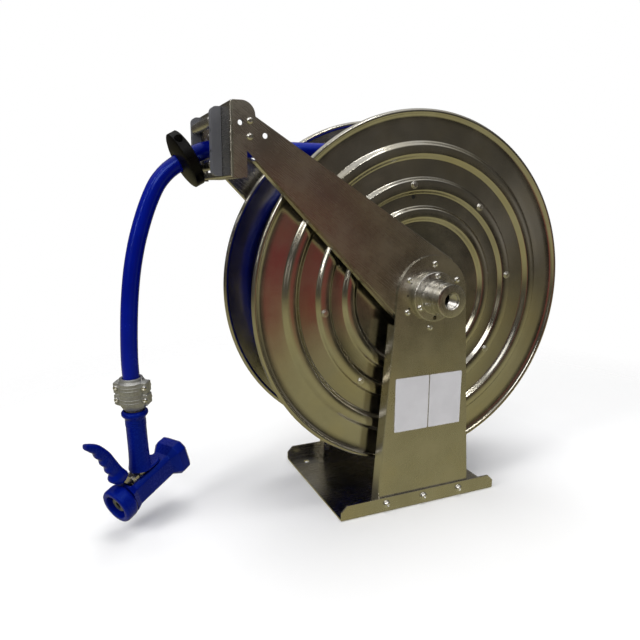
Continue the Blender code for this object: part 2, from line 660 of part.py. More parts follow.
def build_post(name, side):
    foot = BASE_SHEET + SEAT
    shoulder = AXLE_HEIGHT - POST_SHOULDER_DROP
    outline = [(POST_FOOT_HALF_WIDTH, foot), (POST_SHOULDER_HALF_WIDTH, shoulder)]
    outline += arc_points((0, AXLE_HEIGHT), POST_TOP_RADIUS, 0, pi, 14)
    outline += [(-POST_SHOULDER_HALF_WIDTH, shoulder), (-POST_FOOT_HALF_WIDTH, foot)]
    bm = bmesh.new()
    prism(bm, outline, side * POST_INNER_Y, side * POST_OUTER_Y, Y_AXIS)
    post = piece(name + "_post", bm, "stainless")
    folds = bmesh.new()
    fold_start = side * (POST_OUTER_Y - POST_SHEET / 2)
    fold_end = side * (POST_OUTER_Y - POST_FLANGE_DEPTH)
    right = edge_strip(outline[0], outline[1], POST_SHEET)
    for strip in (right, [(-u, v) for u, v in right]):
        prism(folds, strip, fold_start, fold_end, Y_AXIS)
    boolean(post, folds, "UNION", "folds")
    cuts = bmesh.new()
    middle_y = side * (POST_OUTER_Y - POST_SHEET / 2)
    hub_bore(cuts, middle_y, POST_SHEET)
    for x in base_bolt_places():
        hole(cuts, (x, middle_y, BASE_BOLT_HEIGHT), (0, 1, 0), BASE_SCREW[2] + HOLE_PLAY, POST_SHEET)
    circle = INLET_SCREW_CIRCLE if side < 0 else CLAMP_SCREW_CIRCLE
    for angle in INLET_SCREW_ANGLES:
        middle = (circle * cos(angle), middle_y, AXLE_HEIGHT + circle * sin(angle))
        hole(cuts, middle, (0, 1, 0), HUB_SCREW[2] + HOLE_PLAY, POST_SHEET)
    boolean(post, cuts, "DIFFERENCE", "holes")
    screws = bmesh.new()
    reach = POST_SHEET + ARM_SHEET + BEARING_FLANGE
    for x, z in on_circle(HUB_BOLT_CIRCLE, HUB_BOLT_COUNT, HUB_BOLT_PHASE):
        screw(screws, (x, side * POST_OUTER_Y, AXLE_HEIGHT + z), (0, side, 0), HUB_SCREW, reach, SCREW_SINK)
    boolean(post, screws, "UNION", "screws")


def arm_top_z(x):
    return AXLE_HEIGHT + (ARM_TOP_OFFSET - sin(ARM_TOP_SLOPE) * x) / cos(ARM_TOP_SLOPE)


def arm_low_z(x):
    return AXLE_HEIGHT - (ARM_LOW_OFFSET + sin(ARM_LOW_SLOPE) * x) / cos(ARM_LOW_SLOPE)


def leg_places(offsets):
    return [(LEG_OUTER_X + inwards, LEG_TOP_Z - down) for inwards, down in offsets]


def arm_outline():
    top_foot = (ARM_TOP_OFFSET * sin(ARM_TOP_SLOPE), ARM_TOP_OFFSET * cos(ARM_TOP_SLOPE))
    low_foot = (-ARM_LOW_OFFSET * sin(ARM_LOW_SLOPE), -ARM_LOW_OFFSET * cos(ARM_LOW_SLOPE))
    corner = (ARM_SHOULDER_X - LEG_CORNER_RADIUS, LEG_TOP_Z - LEG_CORNER_RADIUS)
    outline = [(LEG_OUTER_X, LEG_BOTTOM_Z), (LEG_OUTER_X, LEG_TOP_Z)]
    outline += arc_points(corner, LEG_CORNER_RADIUS, pi / 2, 0, 5)
    outline.append((ARM_SHOULDER_X, arm_top_z(ARM_SHOULDER_X)))
    outline.append((top_foot[0], AXLE_HEIGHT + top_foot[1]))
    hub_start = atan2(top_foot[1], top_foot[0]) - radians(8)
    hub_stop = atan2(low_foot[1], low_foot[0]) + radians(6)
    outline += arc_points((0, AXLE_HEIGHT), ARM_HUB_RADIUS, hub_start, hub_stop, 14)
    outline.append((low_foot[0], AXLE_HEIGHT + low_foot[1]))
    outline.append((LEG_INNER_X, arm_low_z(LEG_INNER_X)))
    outline.append((LEG_INNER_X, LEG_BOTTOM_Z))
    return outline


def build_arm(name, side):
    bm = bmesh.new()
    prism(bm, arm_outline(), side * ARM_INNER_Y, side * ARM_OUTER_Y, Y_AXIS)
    arm = piece(name + "_arm", bm, "stainless")
    top_start = ARM_SHOULDER_X + ARM_FOLD_TOP_GAP
    top_stop = ARM_TOP_OFFSET * sin(ARM_TOP_SLOPE) - 1 * MM
    low_start = -ARM_LOW_OFFSET * sin(ARM_LOW_SLOPE)
    low_stop = LEG_INNER_X + ARM_FOLD_LOW_GAP
    strips = (
        edge_strip((top_stop, arm_top_z(top_stop)), (top_start, arm_top_z(top_start)), ARM_SHEET),
        edge_strip((low_stop, arm_low_z(low_stop)), (low_start, arm_low_z(low_start)), ARM_SHEET),
    )
    folds = bmesh.new()
    for strip in strips:
        fold_start = side * (ARM_OUTER_Y - ARM_SHEET / 2)
        fold_end = side * (ARM_OUTER_Y - ARM_FLANGE_DEPTH)
        prism(folds, strip, fold_start, fold_end, Y_AXIS)
    boolean(arm, folds, "UNION", "folds")
    middle_y = side * (ARM_OUTER_Y - ARM_SHEET / 2)
    cuts = bmesh.new()
    hub_bore(cuts, middle_y, ARM_SHEET)
    hub_holes(cuts, middle_y, ARM_SHEET)
    for x, z in leg_places(ARM_PLAIN_HOLES):
        hole(cuts, (x, middle_y, z), (0, 1, 0), ARM_PLAIN_HOLE_RADIUS, ARM_SHEET, sides=12)
    if side > 0:
        pivot = (PAWL_PIVOT[0], middle_y, AXLE_HEIGHT + PAWL_PIVOT[1])
        hole(cuts, pivot, (0, 1, 0), PAWL_PIN_RADIUS + HOLE_PLAY, ARM_SHEET, sides=12)
    boolean(arm, cuts, "DIFFERENCE", "holes")
    screws = bmesh.new()
    for x, z in leg_places(OUTLET_SCREWS):
        seat = (x, side * ARM_OUTER_Y, z)
        screw(screws, seat, (0, side, 0), OUTLET_SCREW, ARM_SHEET + BRACKET_SHEET + 5 * MM, SCREW_SINK)
    boolean(arm, screws, "UNION", "screws")


def build_outlet_bracket():
    face = BRACKET_FACE_X
    bottom, top = LEG_BOTTOM_Z + BRACKET_RISE, LEG_TOP_Z
    rear = face + CHEEK_DEPTH
    bm = bmesh.new()
    prism(bm, rectangle(face - BRACKET_SHEET, face, bottom, top), -BRACKET_HALF_WIDTH, BRACKET_HALF_WIDTH, Y_AXIS)
    bracket = piece("outlet_bracket", bm, "stainless")
    added = bmesh.new()
    start = face - BRACKET_SHEET / 2
    step_z = arm_low_z(LEG_INNER_X) + CHEEK_STEP
    cheek = [
        (start, bottom), (LEG_INNER_X - 3 * MM, bottom), (LEG_INNER_X - 3 * MM, step_z),
        (rear, step_z), (rear, top - LEG_CORNER_RADIUS),
        (ARM_SHOULDER_X - LEG_CORNER_RADIUS, top - 1 * MM), (start, top - 1 * MM),
    ]
    for side in (-1, 1):
        prism(added, cheek, side * (BRACKET_HALF_WIDTH - BRACKET_SHEET), side * BRACKET_HALF_WIDTH, Y_AXIS)
    boolean(bracket, added, "UNION", "cheeks")
    lips = bmesh.new()
    for low in (bottom, top - BRACKET_SHEET):
        outline = rectangle(start, face + BRACKET_LIP_DEPTH, low, low + BRACKET_SHEET)
        prism(lips, outline, -BRACKET_LIP_HALF_WIDTH, BRACKET_LIP_HALF_WIDTH, Y_AXIS)
    boolean(bracket, lips, "UNION", "lips")
    cuts = bmesh.new()
    window = rectangle(face - 2 * BRACKET_SHEET, face + BRACKET_SHEET, WINDOW_BOTTOM_Z, WINDOW_TOP_Z)
    prism(cuts, window, -WINDOW_HALF_WIDTH, WINDOW_HALF_WIDTH, Y_AXIS)
    for side in (-1, 1):
        middle_y = side * (BRACKET_HALF_WIDTH - BRACKET_SHEET / 2)
        for x, z in leg_places(OUTLET_SCREWS):
            hole(cuts, (x, middle_y, z), (0, 1, 0), OUTLET_SCREW[2] + HOLE_PLAY, BRACKET_SHEET)
        for z in (bottom, top):
            middle = (UPRIGHT_ROLLER_X, side * UPRIGHT_ROLLER_Y, z)
            hole(cuts, middle, (0, 0, 1), ROLLER_PIN_RADIUS + HOLE_PLAY, 2 * BRACKET_SHEET, sides=10)
    boolean(bracket, cuts, "DIFFERENCE", "window")


def build_roller_blocks():
    front = BLOCK_BACK_X - BLOCK_DEPTH
    outline = [(BLOCK_BACK_X, BLOCK_BOTTOM_Z), (BLOCK_BACK_X, BLOCK_TOP_Z)]
    outline += arc_points((front + BLOCK_CORNER, BLOCK_TOP_Z - BLOCK_CORNER), BLOCK_CORNER, pi / 2, pi, 4)
    outline += arc_points((front + BLOCK_CORNER, BLOCK_BOTTOM_Z + BLOCK_CORNER), BLOCK_CORNER, pi, 1.5 * pi, 4)
    for name, side in SIDES:
        bm = bmesh.new()
        prism(bm, outline, side * BLOCK_INNER_Y, side * (BLOCK_INNER_Y + BLOCK_WIDTH), Y_AXIS)
        block = piece("roller_block_" + name, bm, "block")
        cuts = bmesh.new()
        for z in (BOTTOM_ROLLER_Z, TOP_ROLLER_Z):
            middle = (LEVEL_ROLLER_X, side * BLOCK_INNER_Y, z)
            hole(cuts, middle, (0, 1, 0), ROLLER_PIN_RADIUS + HOLE_PLAY, BLOCK_WIDTH / 2, sides=10)
        boolean(block, cuts, "DIFFERENCE", "pin_holes")


def level_roller_length():
    return 2 * (BLOCK_INNER_Y - ROLLER_END_PLAY)


def upright_roller_length():
    return LEG_HEIGHT - BRACKET_RISE - 2 * BRACKET_SHEET - 2 * ROLLER_END_PLAY


def upright_roller_z():
    return (LEG_TOP_Z + LEG_BOTTOM_Z + BRACKET_RISE) / 2


def build_rollers():
    """Four free rollers and the pins they turn on."""
    middle_z = upright_roller_z()
    level_x = LEVEL_ROLLER_X
    upright_x = UPRIGHT_ROLLER_X
    rollers = (
        ("top_roller", (level_x, 0, TOP_ROLLER_Z), (0, 1, 0), level_roller_length()),
        ("bottom_roller", (level_x, 0, BOTTOM_ROLLER_Z), (0, 1, 0), level_roller_length()),
        ("front_roller", (upright_x, -UPRIGHT_ROLLER_Y, middle_z), (0, 0, 1), upright_roller_length()),
        ("rear_roller", (upright_x, UPRIGHT_ROLLER_Y, middle_z), (0, 0, 1), upright_roller_length()),
    )
    bore = ROLLER_PIN_RADIUS + TURN_PLAY
    edge = 1.2 * MM
    for name, middle, along, length in rollers:
        half = length / 2
        profile = [
            (bore, -half), (ROLLER_RADIUS - edge, -half), (ROLLER_RADIUS, edge - half),
            (ROLLER_RADIUS, half - edge), (ROLLER_RADIUS - edge, half), (bore, half),
        ]
        bm = bmesh.new()
        lathe(bm, profile, 14, frame_at((0, 0, 0), along))
        piece(name, bm, "machined", place=Matrix.Translation(middle))
        upright = along[2] == 1
        reach = half + ROLLER_END_PLAY + (BRACKET_SHEET if upright else BLOCK_WIDTH / 2) - SEAT
        pin = bmesh.new()
        lathe(pin, disc_profile(ROLLER_PIN_RADIUS, -reach, reach), 10, frame_at(middle, along))
        piece(name + "_pin", pin, "fastener")


# ================================================================== axle, fixed part
def build_front_bearing():
    bore = SHAFT_RADIUS + TURN_PLAY
    profile = [
        (bore, -BEARING_SEAT_Y), (BEARING_RADIUS, -BEARING_SEAT_Y),
        (BEARING_RADIUS, BEARING_FLANGE - BEARING_SEAT_Y),
        (FRONT_BOSS_RADIUS, BEARING_FLANGE - BEARING_SEAT_Y),
        (FRONT_BOSS_RADIUS, -FRONT_BOSS_Y), (bore, -FRONT_BOSS_Y),
    ]
    bearing_piece("front_bearing", profile, -1)


def build_rear_bearing_housing():
    bore = ARBOR_RADIUS + SEAT
    boss_y = BUSH_OUTER_Y + REAR_BOSS_GAP
    profile = [
        (bore, BEARING_SEAT_Y), (BEARING_RADIUS, BEARING_SEAT_Y),
        (BEARING_RADIUS, BEARING_SEAT_Y - BEARING_FLANGE),
        (REAR_BOSS_RADIUS, BEARING_SEAT_Y - BEARING_FLANGE),
        (REAR_BOSS_RADIUS, boss_y), (bore, boss_y),
    ]
    bearing_piece("arbor_housing", profile, 1)


def bearing_piece(name, profile, side):
    bm = bmesh.new()
    lathe(bm, profile, 24, Matrix.Translation(HUB_HEIGHT) @ Y_AXIS)
    housing = piece(name, bm, "cast")
    cuts = bmesh.new()
    for x, z in on_circle(HUB_BOLT_CIRCLE, HUB_BOLT_COUNT, HUB_BOLT_PHASE):
        middle = (x, side * BEARING_SEAT_Y, AXLE_HEIGHT + z)
        hole(cuts, middle, (0, 1, 0), HUB_SCREW[2] + HOLE_PLAY, 2 * BEARING_FLANGE)
    boolean(housing, cuts, "DIFFERENCE", "holes")


def build_inlet_body():
    """Swivel body with its flange, seal grooves and threaded port."""
    flange_y = INLET_SEAT_Y + INLET_FLANGE
    bore = SHAFT_RADIUS + TURN_PLAY
    groove = bore + SEAL_SECTION
    edge = 1.5 * MM
    profile = [
        (bore, INLET_SEAT_Y), (INLET_FLANGE_RADIUS, INLET_SEAT_Y),
        (INLET_FLANGE_RADIUS, flange_y - edge), (INLET_FLANGE_RADIUS - edge, flange_y),
        (INLET_RADIUS + 1.6 * MM, flange_y), (INLET_RADIUS, flange_y + 1.6 * MM),
        (INLET_RADIUS, INLET_OUTER_Y - edge), (INLET_RADIUS - edge, INLET_OUTER_Y),
        (PORT_RADIUS + edge, INLET_OUTER_Y), (PORT_RADIUS, INLET_OUTER_Y - edge),
        (PORT_RADIUS, PORT_BOTTOM_Y), (bore, PORT_BOTTOM_Y),
    ]
    half_groove = SEAL_WIDTH / 2 + SEAT
    for middle in sorted(SEAL_MIDDLES_Y, reverse=True):
        profile += [
            (bore, middle + half_groove), (groove, middle + half_groove),
            (groove, middle - half_groove), (bore, middle - half_groove),
        ]
    bm = bmesh.new()
    profile = [(radius, -height) for radius, height in profile]
    lathe(bm, profile, 20, Matrix.Translation(HUB_HEIGHT) @ Y_AXIS)
    inlet = piece("inlet_body", bm, "machined")
    cuts = bmesh.new()
    for angle in INLET_SCREW_ANGLES + (INLET_SPARE_HOLE_ANGLE,):
        x, z = INLET_SCREW_CIRCLE * cos(angle), INLET_SCREW_CIRCLE * sin(angle)
        hole(cuts, (x, -INLET_SEAT_Y, AXLE_HEIGHT + z), (0, 1, 0), HUB_SCREW[2] + HOLE_PLAY, 2 * INLET_FLANGE)
    boolean(inlet, cuts, "DIFFERENCE", "holes")


def build_inlet_screws():
    seat_y = -(INLET_SEAT_Y + INLET_FLANGE + SEAT)
    for name, angle in zip(("top", "left", "right"), INLET_SCREW_ANGLES):
        x, z = INLET_SCREW_CIRCLE * cos(angle), INLET_SCREW_CIRCLE * sin(angle)
        bm = bmesh.new()
        screw(bm, (x, seat_y, AXLE_HEIGHT + z), (0, -1, 0), HUB_SCREW, INLET_FLANGE + POST_SHEET)
        piece("inlet_screw_" + name, bm, "fastener")


def build_swivel_seals():
    inner = SHAFT_RADIUS + SEAT
    outer = SHAFT_RADIUS + TURN_PLAY + SEAL_SECTION - SEAT
    middle = (inner + outer) / 2
    half = SEAL_WIDTH / 2
    for name, seal_y in zip(("inner", "outer"), SEAL_MIDDLES_Y):
        section = [(inner, -seal_y), (middle, -seal_y - half), (outer, -seal_y), (middle, half - seal_y)]
        bm = bmesh.new()
        lathe(bm, section, 20, Matrix.Translation(HUB_HEIGHT) @ Y_AXIS)
        piece("swivel_seal_" + name, bm, "seal")


def build_spring_arbor():
    edge = 1.5 * MM
    profile = [
        (0, ARBOR_INNER_Y), (ARBOR_RADIUS - edge, ARBOR_INNER_Y), (ARBOR_RADIUS, ARBOR_INNER_Y + edge),
        (ARBOR_RADIUS, ARBOR_OUTER_Y - edge), (ARBOR_RADIUS - edge, ARBOR_OUTER_Y), (0, ARBOR_OUTER_Y),
    ]
    bm = bmesh.new()
    lathe(bm, profile, 24, Matrix.Translation(HUB_HEIGHT) @ Y_AXIS)
    arbor = piece("spring_arbor", bm, "machined")
    cuts = bmesh.new()
    slot_low = SPRING_STRIP_MIDDLE_Y - SPRING_STRIP_WIDTH / 2 - 2 * MM
    slot_high = SPRING_STRIP_MIDDLE_Y + SPRING_STRIP_WIDTH / 2 + 2 * MM
    half = ARBOR_SLOT / 2
    tang_slot = rectangle(ARBOR_RADIUS / 3, 2 * ARBOR_RADIUS, AXLE_HEIGHT - half, AXLE_HEIGHT + half)
    prism(cuts, tang_slot, slot_low, slot_high, Y_AXIS)
    key_slot = rectangle(-2 * ARBOR_RADIUS, 2 * ARBOR_RADIUS, AXLE_HEIGHT - 2 * half, AXLE_HEIGHT + 2 * half)
    prism(cuts, key_slot, ARBOR_OUTER_Y - ARBOR_KEY_DEPTH, ARBOR_OUTER_Y + ARBOR_KEY_DEPTH, Y_AXIS)
    boolean(arbor, cuts, "DIFFERENCE", "slots")


def build_arbor_clamp():
    bore = ARBOR_RADIUS + SEAT
    flange_y = INLET_SEAT_Y + CLAMP_FLANGE
    profile = [
        (bore, INLET_SEAT_Y), (CLAMP_FLANGE_RADIUS, INLET_SEAT_Y), (CLAMP_FLANGE_RADIUS, flange_y),
        (CLAMP_BOSS_RADIUS, flange_y), (CLAMP_BOSS_RADIUS, CLAMP_BOSS_Y), (bore, CLAMP_BOSS_Y),
    ]
    bm = bmesh.new()
    lathe(bm, profile, 24, Matrix.Translation(HUB_HEIGHT) @ Y_AXIS)
    clamp = piece("arbor_clamp", bm, "machined")
    screws = bmesh.new()
    for angle in INLET_SCREW_ANGLES:
        seat = (CLAMP_SCREW_CIRCLE * cos(angle), flange_y, AXLE_HEIGHT + CLAMP_SCREW_CIRCLE * sin(angle))
        screw(screws, seat, (0, 1, 0), HUB_SCREW, CLAMP_FLANGE + POST_SHEET, SCREW_SINK)
    boolean(clamp, screws, "UNION", "screws")


def build_labels():
    outer = -(POST_OUTER_Y + SEAT)
    for name, left, right in LABELS:
        bm = bmesh.new()
        outline = rectangle(left, right, LABEL_BOTTOM_Z, LABEL_TOP_Z)
        prism(bm, outline, outer - LABEL_SHEET, outer, Y_AXIS)
        piece(name, bm, "paper", smooth=0)


# ================================================================== drum
def disc_face(hub_hole):
    """Outer face of a pressed disc, hub to rim, as (radius, distance from mid plane)."""
    face = [(hub_hole, DISC_WEB_Y)]
    for rib in RIBS:
        inner_foot, inner_crest, outer_crest, outer_foot = (DISC_BOLT_CIRCLE + edge for edge in rib)
        face += [
            (inner_foot, DISC_WEB_Y), (inner_crest, DISC_WEB_Y + RIB_RISE),
            (outer_crest, DISC_WEB_Y + RIB_RISE), (outer_foot, DISC_WEB_Y),
        ]
    return face


def build_disc(name, side, parent):
    carrier = SHAFT_RADIUS if side < 0 else BUSH_RADIUS
    face = disc_face(carrier + HOLE_PLAY)
    bead_middle = (DISC_RADIUS - RIM_BEAD_RADIUS, DISC_WEB_Y)
    bead = arc_points(bead_middle, RIM_BEAD_RADIUS, radians(150), radians(-150), 4)
    back = [(radius, y - DISC_SHEET) for radius, y in reversed(face)]
    profile = [(radius, side * y) for radius, y in face + bead + back]
    bm = bmesh.new()
    lathe(bm, profile, DISC_SEGMENTS, Y_AXIS)
    disc = piece(name + "_disc", bm, "stainless", parent, smooth=28)
    if side < 0:
        cuts = bmesh.new()
        drain = (DRAIN_HOLE[0], side * DISC_WEB_Y, DISC_BOLT_CIRCLE + DRAIN_HOLE[1])
        hole(cuts, drain, (0, 1, 0), DRAIN_HOLE_RADIUS, 4 * DISC_SHEET)
        boolean(disc, cuts, "DIFFERENCE", "holes")
    screws = bmesh.new()
    crest_y = DISC_WEB_Y + RIB_RISE
    length = crest_y - DISC_INNER_Y + CORE_SHEET + 4 * MM
    for x, z in on_circle(DISC_BOLT_CIRCLE, DISC_BOLT_COUNT, DISC_BOLT_PHASE):
        screw(screws, (x, side * crest_y, z), (0, side, 0), DISC_SCREW, length, SCREW_SINK)
    boolean(disc, screws, "UNION", "screws")


def build_drum_core(parent):
    end = DISC_INNER_Y - SEAT
    lip_inner = CORE_RADIUS - CORE_LIP
    wall_inner = CORE_RADIUS - CORE_SHEET
    profile = [
        (CORE_RADIUS, -end), (CORE_RADIUS, end), (lip_inner, end), (lip_inner, end - CORE_SHEET),
        (wall_inner, end - CORE_SHEET), (wall_inner, CORE_SHEET - end), (lip_inner, CORE_SHEET - end),
        (lip_inner, -end),
    ]
    bm = bmesh.new()
    lathe(bm, profile, DISC_SEGMENTS, Y_AXIS)
    core = piece("drum_core", bm, "stainless", parent)
    cuts = bmesh.new()
    for side in (-1, 1):
        for x, z in on_circle(DISC_BOLT_CIRCLE, DISC_BOLT_COUNT, DISC_BOLT_PHASE):
            hole(cuts, (x, side * end, z), (0, 1, 0), DISC_SCREW[2] + HOLE_PLAY, 2 * CORE_SHEET, sides=6)
    angle = GOOSENECK_ANGLE
    outlet = (CORE_RADIUS * cos(angle), -GOOSENECK_Y, CORE_RADIUS * sin(angle))
    hole(cuts, outlet, (cos(angle), 0, sin(angle)), GOOSENECK_RADIUS + HOLE_PLAY, 4 * CORE_SHEET, sides=12)
    boolean(core, cuts, "DIFFERENCE", "holes")


def build_hollow_shaft(parent):
    flange_outer = DISC_INNER_Y - SEAT
    profile = [
        (SHAFT_BORE, -SHAFT_OUTER_Y), (SHAFT_RADIUS, -SHAFT_OUTER_Y), (SHAFT_RADIUS, -flange_outer),
        (SHAFT_FLANGE_RADIUS, -flange_outer), (SHAFT_FLANGE_RADIUS, SHAFT_FLANGE - flange_outer),
        (SHAFT_RADIUS, SHAFT_FLANGE - flange_outer), (SHAFT_RADIUS, -SHAFT_INNER_Y),
        (SHAFT_BORE, -SHAFT_INNER_Y),
    ]
    bm = bmesh.new()
    lathe(bm, profile, 24, Y_AXIS)
    piece("hollow_shaft", bm, "machined", parent)


def build_gooseneck(parent):
    """Elbow that leads the water from the shaft out through the drum core."""
    start_y = -SHAFT_INNER_Y + SEAT
    bend = -GOOSENECK_Y - start_y
    angle = GOOSENECK_ANGLE
    elbow = [(bend * (1 - cos(a)), start_y + bend * sin(a)) for a in (0, pi / 8, pi / 4, 3 * pi / 8, pi / 2)]
    elbow.append((CORE_RADIUS - CORE_SHEET, -GOOSENECK_Y))
    points = [(radius * cos(angle), y, radius * sin(angle)) for radius, y in elbow]
    bm = bmesh.new()
    tube(bm, points, GOOSENECK_RADIUS, 10)
    piece("gooseneck", bm, "machined", parent)


def build_spring_case(parent):
    end = DISC_INNER_Y - SEAT
    inner = SPRING_CASE_RADIUS - SPRING_CASE_SHEET
    rim = SPRING_CASE_RADIUS + SPRING_CASE_LIP
    floor_y = SPRING_CASE_WALL_Y + SPRING_CASE_SHEET
    bore = ARBOR_RADIUS + TURN_PLAY
    profile = [
        (bore, SPRING_CASE_WALL_Y), (SPRING_CASE_RADIUS, SPRING_CASE_WALL_Y),
        (SPRING_CASE_RADIUS, end - SPRING_CASE_SHEET), (rim, end - SPRING_CASE_SHEET), (rim, end),
        (inner, end), (inner, floor_y), (bore, floor_y),
    ]
    bm = bmesh.new()
    lathe(bm, profile, 28, Y_AXIS)
    piece("spring_case", bm, "stainless", parent)


def build_power_spring(parent):
    """Flat strip wound from the arbor's slot out to the wall of its case."""
    half = SPRING_STRIP / 2
    wall = (SPRING_CASE_RADIUS - SPRING_CASE_SHEET) * cos(pi / 28)
    outer_radius = wall - SEAT - half
    total = SPRING_TURNS * SPRING_STEPS
    inner_edge = []
    outer_edge = []
    for k in range(total + 1):
        angle = tau * k / SPRING_STEPS
        radius = SPRING_INNER_RADIUS + (outer_radius - SPRING_INNER_RADIUS) * k / total
        inner_edge.append(((radius - half) * cos(angle), (radius - half) * sin(angle)))
        outer_edge.append(((radius + half) * cos(angle), (radius + half) * sin(angle)))
    tang = [(ARBOR_RADIUS / 3 + 2 * MM, half), (ARBOR_RADIUS / 3 + 2 * MM, -half)]
    tang.append((SPRING_INNER_RADIUS + half, -half))
    outline = tang + outer_edge[1:] + list(reversed(inner_edge[1:]))
    outline.append((SPRING_INNER_RADIUS - half, half))
    bm = bmesh.new()
    low = SPRING_STRIP_MIDDLE_Y - SPRING_STRIP_WIDTH / 2
    prism(bm, outline, low, low + SPRING_STRIP_WIDTH, Y_AXIS)
    piece("power_spring", bm, "spring", parent)


def build_rear_bush(parent):
    profile = ring_profile(ARBOR_RADIUS + TURN_PLAY, BUSH_RADIUS, BUSH_INNER_Y, BUSH_OUTER_Y)
    bm = bmesh.new()
    lathe(bm, profile, 24, Y_AXIS)
    piece("rear_bush", bm, "bronze", parent)


def ratchet_outline():
    outline = []
    for k in range(RATCHET_TEETH):
        angle = PAWL_TOOTH_ANGLE + tau * k / RATCHET_TEETH
        outline.append((RATCHET_ROOT * cos(angle), RATCHET_ROOT * sin(angle)))
        outline.append((RATCHET_TIP * cos(angle), RATCHET_TIP * sin(angle)))
    return outline


def build_ratchet(parent):
    bm = bmesh.new()
    prism(bm, ratchet_outline(), RATCHET_Y, RATCHET_Y + RATCHET_SHEET, Y_AXIS)
    wheel = piece("ratchet_wheel", bm, "machined", parent, smooth=20)
    boss = bmesh.new()
    profile = disc_profile(RATCHET_HUB_RADIUS, RATCHET_HUB_Y, RATCHET_Y + RATCHET_SHEET / 2)
    lathe(boss, profile, 20, Y_AXIS)
    boolean(wheel, boss, "UNION", "boss")
    cuts = bmesh.new()
    middle_y = (RATCHET_HUB_Y + RATCHET_Y + RATCHET_SHEET) / 2
    hole(cuts, (0, middle_y, 0), (0, 1, 0), BUSH_RADIUS + TURN_PLAY, RATCHET_HUB_HEIGHT + RATCHET_SHEET, sides=24)
    boolean(wheel, cuts, "DIFFERENCE", "bore")


def build_pawl():
    """Pawl in mesh with a tooth, drawn along the tooth's back from the root."""
    root = Vector((RATCHET_ROOT * cos(PAWL_TOOTH_ANGLE), RATCHET_ROOT * sin(PAWL_TOOTH_ANGLE)))
    before = PAWL_TOOTH_ANGLE - tau / RATCHET_TEETH
    crest = Vector((RATCHET_TIP * cos(before), RATCHET_TIP * sin(before)))
    along = (crest - root).normalized()
    outwards = Vector((-along.y, along.x))
    pivot = Vector(PAWL_PIVOT)
    tip_face = Vector((cos(PAWL_TOOTH_ANGLE), sin(PAWL_TOOTH_ANGLE)))
    depth = RATCHET_TIP - RATCHET_ROOT
    tip_low = root + along * 1.1 * PAWL_PLAY + outwards * PAWL_PLAY
    tip_high = tip_low + tip_face * (depth - PAWL_PLAY)
    reach = (crest - root).length
    heel = root + along * (reach + 2 * MM) + outwards * PAWL_PLAY
    bearing = atan2(tip_low.y - pivot.y, tip_low.x - pivot.x)
    hub = arc_points(pivot, PAWL_HUB_RADIUS, bearing + radians(60), bearing + radians(300), 10)
    back = tip_high + (pivot - tip_high) * 0.35 + outwards * 3.0 * MM
    outline = [tuple(tip_high), tuple(tip_low), tuple(heel)] + hub + [tuple(back)]
    local = [(u - pivot.x, v - pivot.y) for u, v in outline]
    place = Matrix.Translation((pivot.x, 0, AXLE_HEIGHT + pivot.y))
    axis = empty("pawl_axis", place)
    bm = bmesh.new()
    prism(bm, local, PAWL_Y, PAWL_Y + PAWL_THICKNESS, Y_AXIS)
    pawl = piece("pawl", bm, "machined", axis, smooth=20)
    cuts = bmesh.new()
    hole(cuts, (0, PAWL_Y, 0), (0, 1, 0), PAWL_PIN_RADIUS + TURN_PLAY, 20 * MM, sides=14)
    boolean(pawl, cuts, "DIFFERENCE", "bore")


def build_pawl_pin():
    low = PAWL_Y - 1 * MM
    seat = ARM_OUTER_Y + SEAT
    profile = [
        (0, low), (PAWL_PIN_RADIUS, low), (PAWL_PIN_RADIUS, seat), (PAWL_PIN_HEAD_RADIUS, seat),
        (PAWL_PIN_HEAD_RADIUS, seat + PAWL_PIN_HEAD), (0, seat + PAWL_PIN_HEAD),
    ]
    bm = bmesh.new()
    place = Matrix.Translation((PAWL_PIVOT[0], 0, AXLE_HEIGHT + PAWL_PIVOT[1]))
    lathe(bm, profile, 14, place @ Y_AXIS)
    piece("pawl_pin", bm, "fastener")


def build_pawl_spring():
    """Torsion spring round the pawl's pin, one leg out over the arm's sheet."""
    steps = 9
    radius = PAWL_PIN_RADIUS + 2 * PAWL_SPRING_WIRE + SEAT
    low = PAWL_Y + PAWL_THICKNESS + SEAT + PAWL_SPRING_WIRE
    high = ARM_INNER_Y - SEAT - PAWL_SPRING_WIRE
    total = PAWL_SPRING_TURNS * steps
    points = [(radius + 9 * MM, low, 0)]
    for k in range(total + 1):
        angle = tau * k / steps
        points.append((radius * cos(angle), low + (high - low) * k / total, radius * sin(angle)))
    points.append((radius + 9 * MM, high, 0))
    place = Matrix.Translation((PAWL_PIVOT[0], 0, AXLE_HEIGHT + PAWL_PIVOT[1]))
    bm = bmesh.new()
    tube(bm, [place @ Vector(point) for point in points], PAWL_SPRING_WIRE, 5)
    piece("pawl_spring", bm, "spring")


# ================================================================== hose
def winding_start():
    """Where the outer layer starts, so that it ends on top of the drum."""
    return pi / 2 - tau * WINDING_TURNS


def climb_points():
    """The hose rising from the lower layer onto the outer one."""
    start = winding_start() - tau * CLIMB_TURN
    points = []
    for k in range(CLIMB_STEPS):
        share = k / CLIMB_STEPS
        rise = share * share * (3 - 2 * share)
        radius = LOWER_LAYER_RADIUS + (WINDING_RADIUS - LOWER_LAYER_RADIUS) * rise
        angle = start + tau * CLIMB_TURN * share
        y = CLIMB_START_Y - CLIMB_TURN * WINDING_PITCH * share
        points.append(Vector((radius * cos(angle), y, radius * sin(angle))))
    run = 2 * HOSE_RADIUS
    first = points[0] + run * Vector((sin(start), 0, -cos(start)))
    return [first] + points


def tail_point(run):
    """Point on the straight end of the winding, seen from the axle's middle."""
    return Vector((-run, WINDING_END_Y - WINDING_LEAD * run, WINDING_RADIUS))


